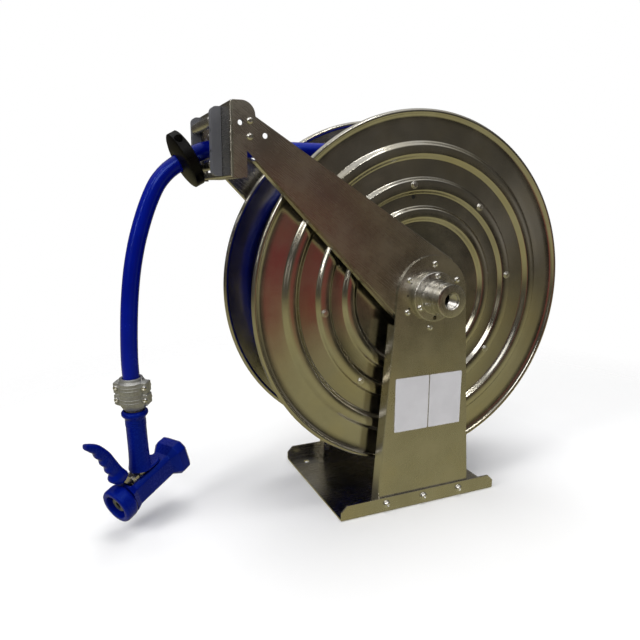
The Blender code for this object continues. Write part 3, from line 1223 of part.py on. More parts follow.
def winding_points():
    """Outer layer: the climb, the loops and the straight end towards the outlet."""
    points = climb_points()
    total = round(WINDING_TURNS * WINDING_STEPS)
    for k in range(total + 1):
        angle = winding_start() + tau * k / WINDING_STEPS
        y = WINDING_START_Y - WINDING_PITCH * k / WINDING_STEPS
        points.append(Vector((WINDING_RADIUS * cos(angle), y, WINDING_RADIUS * sin(angle))))
    points += [tail_point(TAIL_RUN / 2), tail_point(TAIL_RUN)]
    return points


def least_gap(points):
    """Least distance between surfaces of loops at least half a turn apart."""
    apart = WINDING_STEPS // 2
    gaps = []
    for k, point in enumerate(points):
        gaps += [(point - other).length for other in points[k + apart:]]
    return min(gaps) - 2 * HOSE_RADIUS


def build_winding(parent):
    points = winding_points()
    print("winding: least gap to itself %.2f mm" % (least_gap(points) / MM))
    tube_curve("hose_wound", points, HOSE_RADIUS, 1, "hose", parent)
    end = DISC_INNER_Y - SEAT
    bm = bmesh.new()
    lathe(bm, ring_profile(CORE_RADIUS + SEAT, WINDING_CORE_RADIUS, -end, end), DISC_SEGMENTS, Y_AXIS)
    layers = piece("hose_inner_layers", bm, "hose", parent)
    cuts = bmesh.new()
    pocket = climb_points()
    pocket[0] = pocket[0] + (pocket[0] - pocket[1]).normalized() * 1 * MM
    for k in (0, 1):
        angle = winding_start() + tau * k / WINDING_STEPS
        y = WINDING_START_Y - WINDING_PITCH * k / WINDING_STEPS
        pocket.append(Vector((WINDING_RADIUS * cos(angle), y, WINDING_RADIUS * sin(angle))))
    tube(cuts, pocket, HOSE_RADIUS + 1.5 * MM, 8)
    boolean(layers, cuts, "DIFFERENCE", "pocket")


def smooth_route(knots):
    """Catmull-Rom curve through the knots, with a point between distant ones."""
    padded = [2 * knots[0] - knots[1]] + knots + [2 * knots[-1] - knots[-2]]
    route = []
    for a, b, c, d in zip(padded, padded[1:], padded[2:], padded[3:]):
        shares = (0, 0.5) if (c - b).length > ROUTE_LONG_STEP else (0,)
        for t in shares:
            bend = (2 * a - 5 * b + 4 * c - d) * t * t + (3 * b - a - 3 * c + d) * t ** 3
            route.append(0.5 * (2 * b + (c - a) * t + bend))
    route.append(knots[-1])
    return route


def build_free_hose():
    start = HUB_HEIGHT + tail_point(TAIL_RUN + SEAT)
    route = smooth_route([start] + [Vector(point) * MM for point in HOSE_ROUTE])
    length = sum((b - a).length for a, b in zip(route, route[1:]))
    print("free hose: %.0f mm, %d points" % (length / MM, len(route)))
    tube_curve("hose_free", route, HOSE_RADIUS, 2, "hose")


# ================================================================== stopper
def stopper_frame():
    along = (-cos(STOPPER_SLOPE), 0, -sin(STOPPER_SLOPE))
    return frame_at(STOPPER_CENTRE, along, (0, 1, 0))


def build_stopper():
    """Ball stop in two halves, split on the plane through the hose and the Y axis."""
    origin = empty("stopper_axis", stopper_frame())
    bore = HOSE_RADIUS + HOSE_PLAY
    half = STOPPER_HALF_LENGTH
    rim = STOPPER_RIM_HALF
    edge = STOPPER_RIM_EDGE
    profile = [
        (bore, -half), (STOPPER_HUB_RADIUS, -half), (STOPPER_RADIUS - edge, -rim), (STOPPER_RADIUS, edge - rim),
        (STOPPER_RADIUS, rim - edge), (STOPPER_RADIUS - edge, rim), (STOPPER_HUB_RADIUS, half), (bore, half),
    ]
    for name, side in (("stopper_upper", -1), ("stopper_lower", 1)):
        bm = bmesh.new()
        turn = Matrix.Rotation(0 if side > 0 else pi, 4, "Z")
        lathe(bm, profile, 12, turn, arc=pi)
        for vert in bm.verts:
            vert.co.y += side * SEAT / 2
        part = piece(name, bm, "black", origin)
        cuts = bmesh.new()
        screws = bmesh.new()
        for across in (-STOPPER_SCREW_Y, STOPPER_SCREW_Y):
            if side > 0:
                middle = (across, 0, 0)
                hole(cuts, middle, (0, 1, 0), STOPPER_SCREW[2] + HOLE_PLAY, STOPPER_RADIUS)
            else:
                sink = (across, -STOPPER_SCREW_SINK - STOPPER_RADIUS / 2, 0)
                hole(cuts, sink, (0, 1, 0), STOPPER_RECESS_RADIUS, STOPPER_RADIUS / 2)
                seat = (across, -STOPPER_SCREW_SINK, 0)
                screw(screws, seat, (0, -1, 0), STOPPER_SCREW, 2 * STOPPER_SCREW_SINK, SCREW_SINK)
        boolean(part, cuts, "DIFFERENCE", "screw_holes")
        if side < 0:
            boolean(part, screws, "UNION", "screws")


# ================================================================== gun
def gun_frame():
    """Local X forward, Z up the handle, Y to the side."""
    up = Vector((-GUN_TILT, 0, 1)).normalized()
    barrel = Vector((
        cos(BARREL_AZIMUTH) * cos(BARREL_DROP), sin(BARREL_AZIMUTH) * cos(BARREL_DROP), -sin(BARREL_DROP)))
    return frame_at(GUN_ORIGIN, up, barrel)


def barrel_frame():
    """Barrel axis as local Z, in the gun's frame, with local X upwards."""
    up = Vector((-GUN_TILT, 0, 1)).normalized()
    barrel = Vector((
        cos(BARREL_AZIMUTH) * cos(BARREL_DROP), sin(BARREL_AZIMUTH) * cos(BARREL_DROP), -sin(BARREL_DROP)))
    lean = up.dot(barrel)
    along = Vector(((1 - lean * lean) ** 0.5, 0, lean))
    return frame_at((0, 0, 0), along, (0, 0, 1))


def pivot_on_barrel():
    """Trigger pivot as (height above the barrel axis, distance along it)."""
    local = barrel_frame().inverted() @ Vector((TRIGGER_PIVOT[0], 0, TRIGGER_PIVOT[1]))
    return local.x, local.z


def barrel_box(bm, low_x, high_x, half_y, low_s, high_s):
    """Box in the barrel's frame: x above the axis, s along it."""
    prism(bm, rectangle(low_x, high_x, -half_y, half_y), low_s, high_s, barrel_frame())


def trigger_slot():
    """Slot over the toe as (rear, front) along the barrel."""
    middle = pivot_on_barrel()[1]
    return middle - 9 * MM, middle + 15 * MM


def build_valve_body(parent):
    bm = bmesh.new()
    lathe(bm, disc_profile(BARREL_BODY_RADIUS, BARREL_REAR, BARREL_FRONT), 20, barrel_frame())
    body = piece("gun_valve_body", bm, "machined", parent)
    pipe = bmesh.new()
    lathe(pipe, disc_profile(HANDLE_PIPE_RADIUS, 0, HANDLE_PIPE_TOP), 16, Matrix.Identity(4))
    boolean(body, pipe, "UNION", "pipe")
    flow = bmesh.new()
    lathe(flow, disc_profile(HANDLE_PIPE_BORE, 0, HANDLE_PIPE_TOP + 5 * MM), 12, Matrix.Identity(4))
    boolean(body, flow, "DIFFERENCE", "flow")
    pivot_x, pivot_s = pivot_on_barrel()
    ears = bmesh.new()
    ear_inner = TRIGGER_HALF_WIDTH + 0.8 * MM
    for side in (-1, 1):
        across = sorted((side * ear_inner, side * (ear_inner + EAR_SHEET)))
        outline = rectangle(BARREL_BODY_RADIUS / 2, pivot_x + EAR_HALF_LENGTH, across[0], across[1])
        prism(ears, outline, pivot_s - EAR_HALF_LENGTH, pivot_s + EAR_HALF_LENGTH, barrel_frame())
    boolean(body, ears, "UNION", "ears")
    cuts = bmesh.new()
    bore_start = BARREL_REAR + 3 * MM
    lathe(cuts, disc_profile(BARREL_BORE, bore_start, BARREL_FRONT + 5 * MM), 16, barrel_frame())
    boolean(body, cuts, "DIFFERENCE", "bore")
    slot = bmesh.new()
    rear, front = trigger_slot()
    barrel_box(slot, 0, BARREL_BODY_RADIUS + 5 * MM, TRIGGER_TOE_HALF_WIDTH + 1 * MM, rear + 4 * MM, front)
    boolean(body, slot, "DIFFERENCE", "slot")
    pin = bmesh.new()
    pin_hole(pin, TRIGGER_PIN_RADIUS + SEAT)
    boolean(body, pin, "DIFFERENCE", "pin")


def pin_hole(bm, radius):
    middle = (TRIGGER_PIVOT[0], 0, TRIGGER_PIVOT[1])
    hole(bm, middle, (0, 1, 0), radius, 2 * BARREL_BODY_RADIUS, sides=12)


def build_trigger_pin(parent):
    half = TRIGGER_HALF_WIDTH + 0.8 * MM + EAR_SHEET
    bm = bmesh.new()
    middle = (TRIGGER_PIVOT[0], 0, TRIGGER_PIVOT[1])
    lathe(bm, disc_profile(TRIGGER_PIN_RADIUS, -half, half), 12, frame_at(middle, (0, 1, 0)))
    piece("trigger_pin", bm, "fastener", parent)


def octagon(half, chamfer):
    flat = half - chamfer
    return [
        (half, -flat), (half, flat), (flat, half), (-flat, half),
        (-half, flat), (-half, -flat), (-flat, -half), (flat, -half),
    ]


def build_gun_cover(parent):
    """Rubber cover: square rear block, slim flat-sided middle, flared front."""
    block = COVER_BLOCK_HALF
    slim = COVER_HALF
    stations = (
        (-87.5, block - 7 * MM, 12), (-85, block - 2 * MM, 12.5), (-80, block, 12), (-66, block, 12),
        (-61, block - 2 * MM, 12), (-55, slim + 2 * MM, 8), (-49, slim, 6.5), (25, slim, 6.5),
        (33.7, slim + 3.5 * MM, 9),
    )
    place = barrel_frame()
    sections = []
    for along, half, chamfer in stations:
        outline = octagon(half, chamfer * MM)
        sections.append([place @ Vector((u, v, along * MM)) for u, v in outline])
    bm = bmesh.new()
    loft(bm, sections)
    cover = piece("gun_cover", bm, "gun", parent, smooth=50)
    cuts = bmesh.new()
    bore = BARREL_BODY_RADIUS + SEAT + HOLE_PLAY
    lathe(cuts, disc_profile(bore, BARREL_REAR - SEAT, BARREL_FRONT + 5 * MM), 20, place)
    boolean(cover, cuts, "DIFFERENCE", "bore")
    neck = bmesh.new()
    lathe(neck, disc_profile(HANDLE_PIPE_RADIUS + HOLE_PLAY, 0, 3 * COVER_HALF), 16, Matrix.Identity(4))
    boolean(cover, neck, "DIFFERENCE", "neck")
    slot = bmesh.new()
    rear, front = trigger_slot()
    half = TRIGGER_HALF_WIDTH + EAR_SHEET + 1.6 * MM
    barrel_box(slot, BARREL_BODY_RADIUS / 2, 2 * COVER_HALF, half, rear, front)
    boolean(cover, slot, "DIFFERENCE", "slot")


def build_bumper_and_nozzle(parent):
    place = barrel_frame()
    rear = BARREL_FRONT + SEAT
    front = BUMPER_FRONT
    seat = NOZZLE_RADIUS + SEAT
    floor = front - 14 * MM
    outer = BUMPER_RADIUS
    profile = [
        (seat, rear), (outer - 5 * MM, rear), (outer - 1.5 * MM, rear + 2.5 * MM), (outer, rear + 6 * MM),
        (outer, front - 4 * MM), (outer - 2 * MM, front), (BUMPER_RECESS_RADIUS + 2 * MM, front),
        (BUMPER_RECESS_RADIUS, front - 2 * MM), (BUMPER_RECESS_RADIUS, floor), (seat, floor),
    ]
    bm = bmesh.new()
    lathe(bm, profile, 20, place)
    piece("gun_bumper", bm, "gun", parent)
    nose = [
        (NOZZLE_BORE, rear), (NOZZLE_RADIUS, rear), (NOZZLE_RADIUS, NOZZLE_FRONT - 2 * MM),
        (NOZZLE_RADIUS - 2 * MM, NOZZLE_FRONT), (NOZZLE_BORE - 2.4 * MM, NOZZLE_FRONT),
        (NOZZLE_BORE - 2.4 * MM, NOZZLE_FRONT - 6 * MM), (NOZZLE_BORE, NOZZLE_FRONT - 8 * MM),
    ]
    bm = bmesh.new()
    lathe(bm, nose, 16, place)
    piece("gun_nozzle", bm, "machined", parent)


def build_handle_sleeve(parent):
    inner = HANDLE_PIPE_RADIUS + HOLE_PLAY
    bead_radius = SLEEVE_BEAD_RADIUS
    top = SLEEVE_BEAD_TOP
    profile = [
        (inner, SLEEVE_BOTTOM + 1 * MM), (SLEEVE_RADIUS + 2.4 * MM, SLEEVE_BOTTOM + 1 * MM),
        (SLEEVE_RADIUS + 0.6 * MM, SLEEVE_BOTTOM + SLEEVE_FLARE), (SLEEVE_RADIUS, SLEEVE_BOTTOM + SLEEVE_TAPER),
        (SLEEVE_RADIUS, top - 13 * MM), (SLEEVE_RADIUS + 2 * MM, top - 10.5 * MM),
        (bead_radius - 1 * MM, top - 8.5 * MM), (bead_radius, top - 5.5 * MM), (bead_radius - 1.2 * MM, top - 2 * MM),
        (SLEEVE_CUP_RADIUS + 2 * MM, top), (SLEEVE_CUP_RADIUS, top - 1.5 * MM),
        (SLEEVE_CUP_RADIUS, SLEEVE_CUP_BOTTOM), (inner, SLEEVE_CUP_BOTTOM),
    ]
    bm = bmesh.new()
    lathe(bm, profile, 16, Matrix.Identity(4))
    sleeve = piece("handle_sleeve", bm, "gun", parent, smooth=50)
    middle = (LIP_FRONT + LIP_REAR) / 2
    half_length = (LIP_FRONT - LIP_REAR) / 2
    sections = []
    for share, swell in ((0, 0.86), (0.3, 1.0), (0.75, 1.0), (1, 0.88)):
        section = []
        for k in range(14):
            angle = tau * k / 14
            x = middle + swell * half_length * cos(angle)
            y = swell * LIP_HALF_WIDTH * sin(angle)
            z = SLEEVE_BOTTOM + LIP_THICKNESS * share + LIP_RISE * max(0, -x)
            section.append(Vector((x, y, z)))
        sections.append(section)
    lip = bmesh.new()
    loft(lip, sections)
    boolean(sleeve, lip, "UNION", "lip")
    cuts = bmesh.new()
    lathe(cuts, disc_profile(inner, 0, SLEEVE_CUP_BOTTOM + 1 * MM), 16, Matrix.Identity(4))
    boolean(sleeve, cuts, "DIFFERENCE", "bore")


def trigger_arm_outline(half_width, hub_radius):
    pivot = Vector(TRIGGER_PIVOT)
    line = [pivot] + [Vector(point) for point in TRIGGER_LINE]
    left = []
    right = []
    for k in range(1, len(line)):
        ahead = (line[min(k + 1, len(line) - 1)] - line[k - 1]).normalized()
        across = Vector((-ahead.y, ahead.x)) * half_width
        left.append(tuple(line[k] + across))
        right.append(tuple(line[k] - across))
    heading = atan2(line[1].y - pivot.y, line[1].x - pivot.x)
    hub = arc_points(pivot, hub_radius, heading + radians(80), heading + radians(280), 8)
    return hub + right + list(reversed(left))


def build_trigger(parent):
    pivot_place = Matrix.Translation((TRIGGER_PIVOT[0], 0, TRIGGER_PIVOT[1]))
    axis = empty("trigger_axis", pivot_place, parent)
    back = pivot_place.inverted()
    side_plane = back @ Y_AXIS
    bm = bmesh.new()
    outline = trigger_arm_outline(TRIGGER_ARM_HALF, TRIGGER_HUB_RADIUS)
    prism(bm, outline, -TRIGGER_HALF_WIDTH, TRIGGER_HALF_WIDTH, side_plane)
    arm = piece("trigger_arm", bm, "machined", axis)
    toe = bmesh.new()
    pivot_x, pivot_s = pivot_on_barrel()
    half = TRIGGER_TOE / 2
    outline = rectangle(TRIGGER_TOE_END, pivot_x, -TRIGGER_TOE_HALF_WIDTH, TRIGGER_TOE_HALF_WIDTH)
    prism(toe, outline, pivot_s - half, pivot_s + half, back @ barrel_frame())
    boolean(arm, toe, "UNION", "toe")
    cuts = bmesh.new()
    hole(cuts, (0, 0, 0), (0, 1, 0), TRIGGER_PIN_RADIUS + TURN_PLAY, 2 * TRIGGER_HALF_WIDTH, sides=12)
    boolean(arm, cuts, "DIFFERENCE", "pin")

    stations = (             # handle side, outer side (forward, up), half width, in mm
        ((28, 35), (41, 20.5), 9), ((30.5, 38.5), (52, 23.5), 12), ((34, 43), (60, 30), 13),
        ((36.5, 46), (59.5, 36), 11.5), ((41, 53), (58.5, 41), 9.5), ((46, 62), (65.5, 49), 9.5),
        ((50.5, 70), (66.5, 57), 9.0), ((55.5, 79), (73, 65), 9.5), ((60.5, 85.5), (74.5, 73), 9.0),
        ((67, 93), (81, 80), 9.0), ((74, 99.5), (83.5, 87.5), 8.2), ((83, 104.5), (90, 93.5), 7.4),
        ((96, 109.5), (97.3, 100.2), 5.5),
    )
    sections = []
    for inner, outer, half_width in stations:
        a, b = Vector(inner) * MM, Vector(outer) * MM
        middle = (a + b) / 2
        reach = (b - a) / 2
        section = []
        for k in range(10):
            angle = tau * (k + 0.5) / 10
            along = middle + reach * cos(angle)
            section.append(back @ Vector((along.x, half_width * MM * sin(angle), along.y)))
        sections.append(section)
    bm = bmesh.new()
    loft(bm, sections)
    grip = piece("trigger_grip", bm, "gun", axis, smooth=60)
    pocket = bmesh.new()
    play = SEAT + 0.1 * MM
    outline = trigger_arm_outline(TRIGGER_ARM_HALF + play, TRIGGER_HUB_RADIUS)
    tip_low, tip_high = outline[8 + 4], outline[8 + 5]
    ahead = (Vector(TRIGGER_LINE[-1]) - Vector(TRIGGER_LINE[-2])).normalized() * play
    outline[8 + 4] = tuple(Vector(tip_low) + ahead)
    outline[8 + 5] = tuple(Vector(tip_high) + ahead)
    prism(pocket, outline, -TRIGGER_HALF_WIDTH - play, TRIGGER_HALF_WIDTH + play, side_plane)
    boolean(grip, pocket, "DIFFERENCE", "pocket")


def build_valve_stem(parent):
    """Push rod with the trigger's groove, the valve head and the spring plate."""
    groove_middle = pivot_on_barrel()[1]
    near = groove_middle - STEM_GROOVE / 2
    far = groove_middle + STEM_GROOVE / 2
    profile = [
        (0, STEM_REAR), (STEM_COLLAR_RADIUS, STEM_REAR), (STEM_COLLAR_RADIUS, STEM_REAR + STEM_COLLAR),
        (STEM_RADIUS, STEM_REAR + STEM_COLLAR), (STEM_RADIUS, near - STEM_COLLAR),
        (STEM_COLLAR_RADIUS, near - STEM_COLLAR), (STEM_COLLAR_RADIUS, near), (STEM_RADIUS, near),
        (STEM_RADIUS, far), (STEM_COLLAR_RADIUS, far), (STEM_COLLAR_RADIUS, far + STEM_COLLAR),
        (STEM_RADIUS, far + STEM_COLLAR), (STEM_RADIUS, STEM_FRONT - 4 * MM),
        (STEM_HEAD_RADIUS, STEM_FRONT - 4 * MM), (STEM_HEAD_RADIUS, STEM_FRONT), (0, STEM_FRONT),
    ]
    bm = bmesh.new()
    lathe(bm, profile, 12, barrel_frame())
    piece("valve_stem", bm, "machined", parent)


def build_stem_gland(parent):
    low = GLAND_MIDDLE - GLAND_LENGTH / 2
    profile = ring_profile(STEM_RADIUS + TURN_PLAY, BARREL_BORE - TURN_PLAY, low, low + GLAND_LENGTH)
    bm = bmesh.new()
    lathe(bm, profile, 14, barrel_frame())
    piece("stem_gland", bm, "bronze", parent)


def build_stem_spring(parent):
    steps = 8
    low = STEM_REAR + STEM_COLLAR + SEAT + STEM_SPRING_WIRE
    high = GLAND_MIDDLE - GLAND_LENGTH / 2 - SEAT - STEM_SPRING_WIRE
    radius = (STEM_RADIUS + BARREL_BORE) / 2
    total = STEM_SPRING_TURNS * steps
    place = barrel_frame()
    points = []
    for k in range(total + 1):
        angle = tau * k / steps
        height = low + (high - low) * k / total
        points.append(place @ Vector((radius * cos(angle), radius * sin(angle), height)))
    bm = bmesh.new()
    tube(bm, points, STEM_SPRING_WIRE, 4)
    piece("stem_spring", bm, "spring", parent)


def build_hose_tail(parent):
    bottom = HANDLE_PIPE_TOP + SEAT
    collar = TAIL_COLLAR_BOTTOM
    collar_top = collar + TAIL_COLLAR
    profile = [
        (HANDLE_PIPE_BORE, bottom), (HANDLE_PIPE_RADIUS, bottom), (HANDLE_PIPE_RADIUS, collar),
        (TAIL_COLLAR_RADIUS, collar), (TAIL_COLLAR_RADIUS, collar_top), (TAIL_NECK_RADIUS, collar_top),
        (TAIL_NECK_RADIUS, CLAMP_CLAW_TOP + 1 * MM), (TAIL_BARB_RADIUS, CLAMP_CLAW_TOP + 2 * MM),
        (TAIL_BARB_RADIUS, TAIL_TOP), (HANDLE_PIPE_BORE, TAIL_TOP),
    ]
    bm = bmesh.new()
    lathe(bm, profile, 16, Matrix.Identity(4))
    piece("hose_tail", bm, "machined", parent)


# ================================================================== safety clamp
def clamp_section(radius, bore, ear_half, ear, height):
    """Half ring with an ear on each side; local Y is the way the half faces."""
    gap = CLAMP_SPLIT / 2
    steps = 8
    inner = []
    for k in range(steps + 1):
        angle = pi * k / steps
        inner.append((bore * cos(angle), max(gap, bore * sin(angle))))
    rise = min(0.9 * radius, ear + gap)
    lean = atan2(rise, (radius ** 2 - rise ** 2) ** 0.5)
    outer = arc_points((0, 0), radius, pi - lean, lean, steps)
    outline = inner + [(-ear_half, gap), (-ear_half, rise)] + outer + [(ear_half, rise), (ear_half, gap)]
    return [Vector((u, v, height)) for u, v in outline]


def build_clamp(parent):
    """Two cast half shells, claws under the tail's neck, four bolts."""
    frame = gun_frame().to_3x3()
    facing = frame.inverted() @ Vector((cos(CLAMP_SPLIT_AZIMUTH), sin(CLAMP_SPLIT_AZIMUTH), 0))
    facing.z = 0
    facing.normalize()
    turn = atan2(-facing.x, facing.y)
    stations = (        # height, shell radius, bore, ear half width, ear
        (CLAMP_BOTTOM, 16.5 * MM, CLAMP_CLAW_BORE, 17 * MM, 2 * MM),
        (CLAMP_CLAW_TOP, 18.5 * MM, CLAMP_CLAW_BORE, 20 * MM, 3 * MM),
        (CLAMP_CLAW_TOP + 1.0 * MM, 19 * MM, CLAMP_BORE, 21 * MM, 4 * MM),
        (CLAMP_BOTTOM + 9 * MM, CLAMP_RADIUS, CLAMP_BORE, CLAMP_EAR_HALF_WIDTH, CLAMP_EAR),
        (CLAMP_TOP - 7 * MM, CLAMP_RADIUS, CLAMP_BORE, CLAMP_EAR_HALF_WIDTH, CLAMP_EAR),
        (CLAMP_TOP - 5 * MM, 19.5 * MM, CLAMP_BORE, 22.5 * MM, 5 * MM),
        (CLAMP_TOP, 18 * MM, CLAMP_BORE, 19 * MM, 3 * MM),
    )
    for name, half_turn in (("clamp_front", 0), ("clamp_rear", pi)):
        place = Matrix.Rotation(turn + half_turn, 4, "Z")
        bm = bmesh.new()
        sections = []
        for height, radius, bore, ear_half, ear in stations:
            outline = clamp_section(radius, bore, ear_half, ear, height)
            sections.append([place @ point for point in outline])
        loft(bm, sections)
        shell = piece(name, bm, "cast", parent, smooth=30)
        cuts = bmesh.new()
        screws = bmesh.new()
        for height in CLAMP_BOLT_HEIGHTS:
            for across in (-CLAMP_BOLT_ACROSS, CLAMP_BOLT_ACROSS):
                middle = place @ Vector((across, 0, height))
                out = place @ Vector((0, 1, 0))
                hole(cuts, middle, out, CLAMP_SCREW[2] + HOLE_PLAY, 3 * CLAMP_EAR)
                seat = middle + out * (CLAMP_EAR + CLAMP_SPLIT / 2)
                screw(screws, seat, out, CLAMP_SCREW, 2 * CLAMP_EAR, SCREW_SINK)
        if half_turn == 0:
            boolean(shell, screws, "UNION", "screws")
            cuts.free()
        else:
            boolean(shell, cuts, "DIFFERENCE", "screw_holes")
            screws.free()


# ================================================================== assembly
def build_frame_parts():
    build_base()
    for name, side in SIDES:
        build_post(name, side)
        build_arm(name, side)
    build_outlet_bracket()
    build_roller_blocks()
    build_rollers()
    build_front_bearing()
    build_rear_bearing_housing()
    build_inlet_body()
    build_inlet_screws()
    build_swivel_seals()
    build_spring_arbor()
    build_arbor_clamp()
    build_labels()
    build_pawl()
    build_pawl_pin()
    build_pawl_spring()


def build_drum():
    drum = empty("drum_axis", Matrix.Translation(HUB_HEIGHT))
    for name, side in SIDES:
        build_disc(name, side, drum)
    build_drum_core(drum)
    build_hollow_shaft(drum)
    build_gooseneck(drum)
    build_spring_case(drum)
    build_power_spring(drum)
    build_rear_bush(drum)
    build_ratchet(drum)
    build_winding(drum)


def build_gun():
    gun = empty("gun_origin", gun_frame())
    build_valve_body(gun)
    build_trigger_pin(gun)
    build_gun_cover(gun)
    build_bumper_and_nozzle(gun)
    build_handle_sleeve(gun)
    build_trigger(gun)
    build_valve_stem(gun)
    build_stem_gland(gun)
    build_stem_spring(gun)
    build_hose_tail(gun)
    build_clamp(gun)


clear_scene()
LOOKS = make_materials()
build_frame_parts()
build_drum()
build_free_hose()
build_stopper()
build_gun()
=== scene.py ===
"""Looks of the spring-rewind hose reel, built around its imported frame."""
import bpy
import bmesh
from math import atan2, cos, pi, radians, sin, sqrt, tau
from mathutils import Matrix, Vector


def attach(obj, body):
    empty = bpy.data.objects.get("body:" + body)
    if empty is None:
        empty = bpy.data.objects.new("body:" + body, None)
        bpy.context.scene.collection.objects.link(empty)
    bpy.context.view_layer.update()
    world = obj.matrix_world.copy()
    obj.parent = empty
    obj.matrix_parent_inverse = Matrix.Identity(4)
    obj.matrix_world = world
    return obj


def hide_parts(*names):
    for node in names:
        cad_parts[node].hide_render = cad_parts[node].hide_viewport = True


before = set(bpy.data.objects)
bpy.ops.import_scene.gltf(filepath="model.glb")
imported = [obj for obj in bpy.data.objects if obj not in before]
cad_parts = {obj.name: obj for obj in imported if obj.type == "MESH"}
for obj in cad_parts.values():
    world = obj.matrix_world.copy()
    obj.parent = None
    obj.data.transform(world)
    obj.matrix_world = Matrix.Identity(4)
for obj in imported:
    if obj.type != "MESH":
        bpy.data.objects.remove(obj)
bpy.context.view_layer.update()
MM = 0.001
AXLE_Z = 0.370
AXLE = Vector((0, 0, AXLE_Z))
PAWL = Vector((-0.013301, 0, 0.446962))
YA = Matrix(((1, 0, 0, 0), (0, 0, 1, 0), (0, 1, 0, 0), (0, 0, 0, 1)))    # local Z along world Y
XA = Matrix(((0, 0, 1, 0), (1, 0, 0, 0), (0, 1, 0, 0), (0, 0, 0, 1)))    # local Z along world X
AXLE_Y = Matrix.Translation(AXLE) @ YA
ONE = Matrix.Identity(4)
SIDES = (("front", -1), ("rear", 1))
HOSE_RADIUS = 0.0135
WINDING_RADIUS = 0.235
LOWER_RADIUS = 0.2076        # of the layer under the outer one
WINDING_PITCH = 0.0276
WINDING_TURNS = 2.5
WINDING_LEAD = WINDING_PITCH / (tau * WINDING_RADIUS)    # sideways travel per length
CLIMB_Y = 0.0667             # where the hose climbs onto the outer layer
CLIMB_TURN = 3 / 24
WINDING_START_Y = CLIMB_Y - WINDING_PITCH * CLIMB_TURN
WINDING_END_Y = WINDING_START_Y - WINDING_TURNS * WINDING_PITCH


# ------------------------------------------------------------------ camera
PICTURE = 640                # pixels along a side
FOCAL_LENGTH = 565.05        # in pixels
CENTRE = (283.52, 304.83)    # of projection, in pixels from the top left
SENSOR = 36


def make_camera():
    data = bpy.data.cameras.new("camera")
    data.sensor_width = SENSOR
    data.lens = FOCAL_LENGTH * SENSOR / PICTURE
    data.shift_x = (PICTURE / 2 - CENTRE[0]) / PICTURE
    data.shift_y = (CENTRE[1] - PICTURE / 2) / PICTURE
    data.clip_end = 50
    cam = bpy.data.objects.new("camera", data)
    right = Vector((0.93438171, -0.35621376, -0.00652437))
    up = Vector((0.07374571, 0.17546075, 0.98172048))
    back = -Vector((0.34855757, 0.91778281, -0.19021656))
    cam.matrix_world = Matrix((right, up, back)).transposed().to_4x4()
    cam.location = Vector((-554.03, -888.82, 534.24)) * MM
    bpy.context.scene.collection.objects.link(cam)
    bpy.context.scene.camera = cam


# ------------------------------------------------------------------ materials
STEEL_DARK, STEEL_LIGHT = (0.46, 0.44, 0.39), (0.58, 0.56, 0.50)
STEEL_STAIN = (0.56, 0.51, 0.37)


def tree(name):
    mat = bpy.data.materials.new(name)
    mat.use_nodes = True
    nt = mat.node_tree
    return mat, nt, nt.nodes["Principled BSDF"]


def feed(nt, made, inputs):
    """Link sockets to a node's inputs, and set its other inputs to plain values."""
    for key, value in inputs.items():
        if isinstance(value, bpy.types.NodeSocket):
            nt.links.new(value, made.inputs[key])
        else:
            made.inputs[key].default_value = value
    return made


def node(nt, kind, inputs=None, **settings):
    made = nt.nodes.new(kind)
    for key, value in settings.items():
        setattr(made, key, value)
    return feed(nt, made, inputs or {})


def maths(nt, operation, *values):
    return node(nt, "ShaderNodeMath", dict(enumerate(values)), operation=operation).outputs[0]


def coords(nt, turn=(0, 0, 0), scale=(1, 1, 1), shift=(0, 0, 0)):
    """Object coordinates, turned, then stretched, then moved."""
    out = node(nt, "ShaderNodeTexCoord").outputs["Object"]
    for key, value in (("Rotation", turn), ("Scale", scale), ("Location", shift)):
        if value not in ((0, 0, 0), (1, 1, 1)):
            out = node(nt, "ShaderNodeMapping", {key: value, "Vector": out}).outputs["Vector"]
    return out


def polar(nt, rings, spokes):
    """Coordinates that run round the axle: radius, angle and depth."""
    where = node(nt, "ShaderNodeTexCoord").outputs["Object"]
    split = node(nt, "ShaderNodeSeparateXYZ", {0: where}).outputs
    z = maths(nt, "SUBTRACT", split[2], AXLE_Z)
    flat = node(nt, "ShaderNodeCombineXYZ", {0: split[0], 1: z}).outputs[0]
    radius = node(nt, "ShaderNodeVectorMath", {0: flat}, operation="LENGTH").outputs["Value"]
    angle = maths(nt, "ARCTAN2", split[0], z)
    across = maths(nt, "MULTIPLY", radius, rings)
    along = maths(nt, "MULTIPLY", angle, spokes)
    return node(nt, "ShaderNodeCombineXYZ", {0: across, 1: along, 2: split[1]}).outputs[0]


def noise(nt, vector, scale, detail=4.0, rough=0.55):
    inputs = {"Scale": scale, "Detail": detail, "Roughness": rough, "Vector": vector}
    return node(nt, "ShaderNodeTexNoise", inputs).outputs["Fac"]


def span(nt, value, low, high, start=0.3, stop=0.7):
    """Map start..stop to low..high."""
    inputs = {"From Min": start, "From Max": stop, "To Min": low, "To Max": high, "Value": value}
    return node(nt, "ShaderNodeMapRange", inputs).outputs["Result"]


def tint(nt, fac, a, b, start=0.3, stop=0.7):
    """Colour a at start, running to colour b at stop."""
    made = node(nt, "ShaderNodeValToRGB", {"Fac": fac})
    first, last = made.color_ramp.elements
    first.position, first.color = start, (*a, 1)
    last.position, last.color = stop, (*b, 1)
    return made.outputs["Color"]


def add(nt, a, b, share=1.0):
    return maths(nt, "MULTIPLY_ADD", b, share, a)


def patch(nt, under, fac, colour):
    return node(nt, "ShaderNodeMixRGB", {0: fac, 1: under, 2: (*colour, 1)}).outputs[0]


def bump(nt, shader, height, strength, distance):
    inputs = {"Strength": strength, "Distance": distance, "Height": height}
    feed(nt, shader, {"Normal": node(nt, "ShaderNodeBump", inputs).outputs["Normal"]})


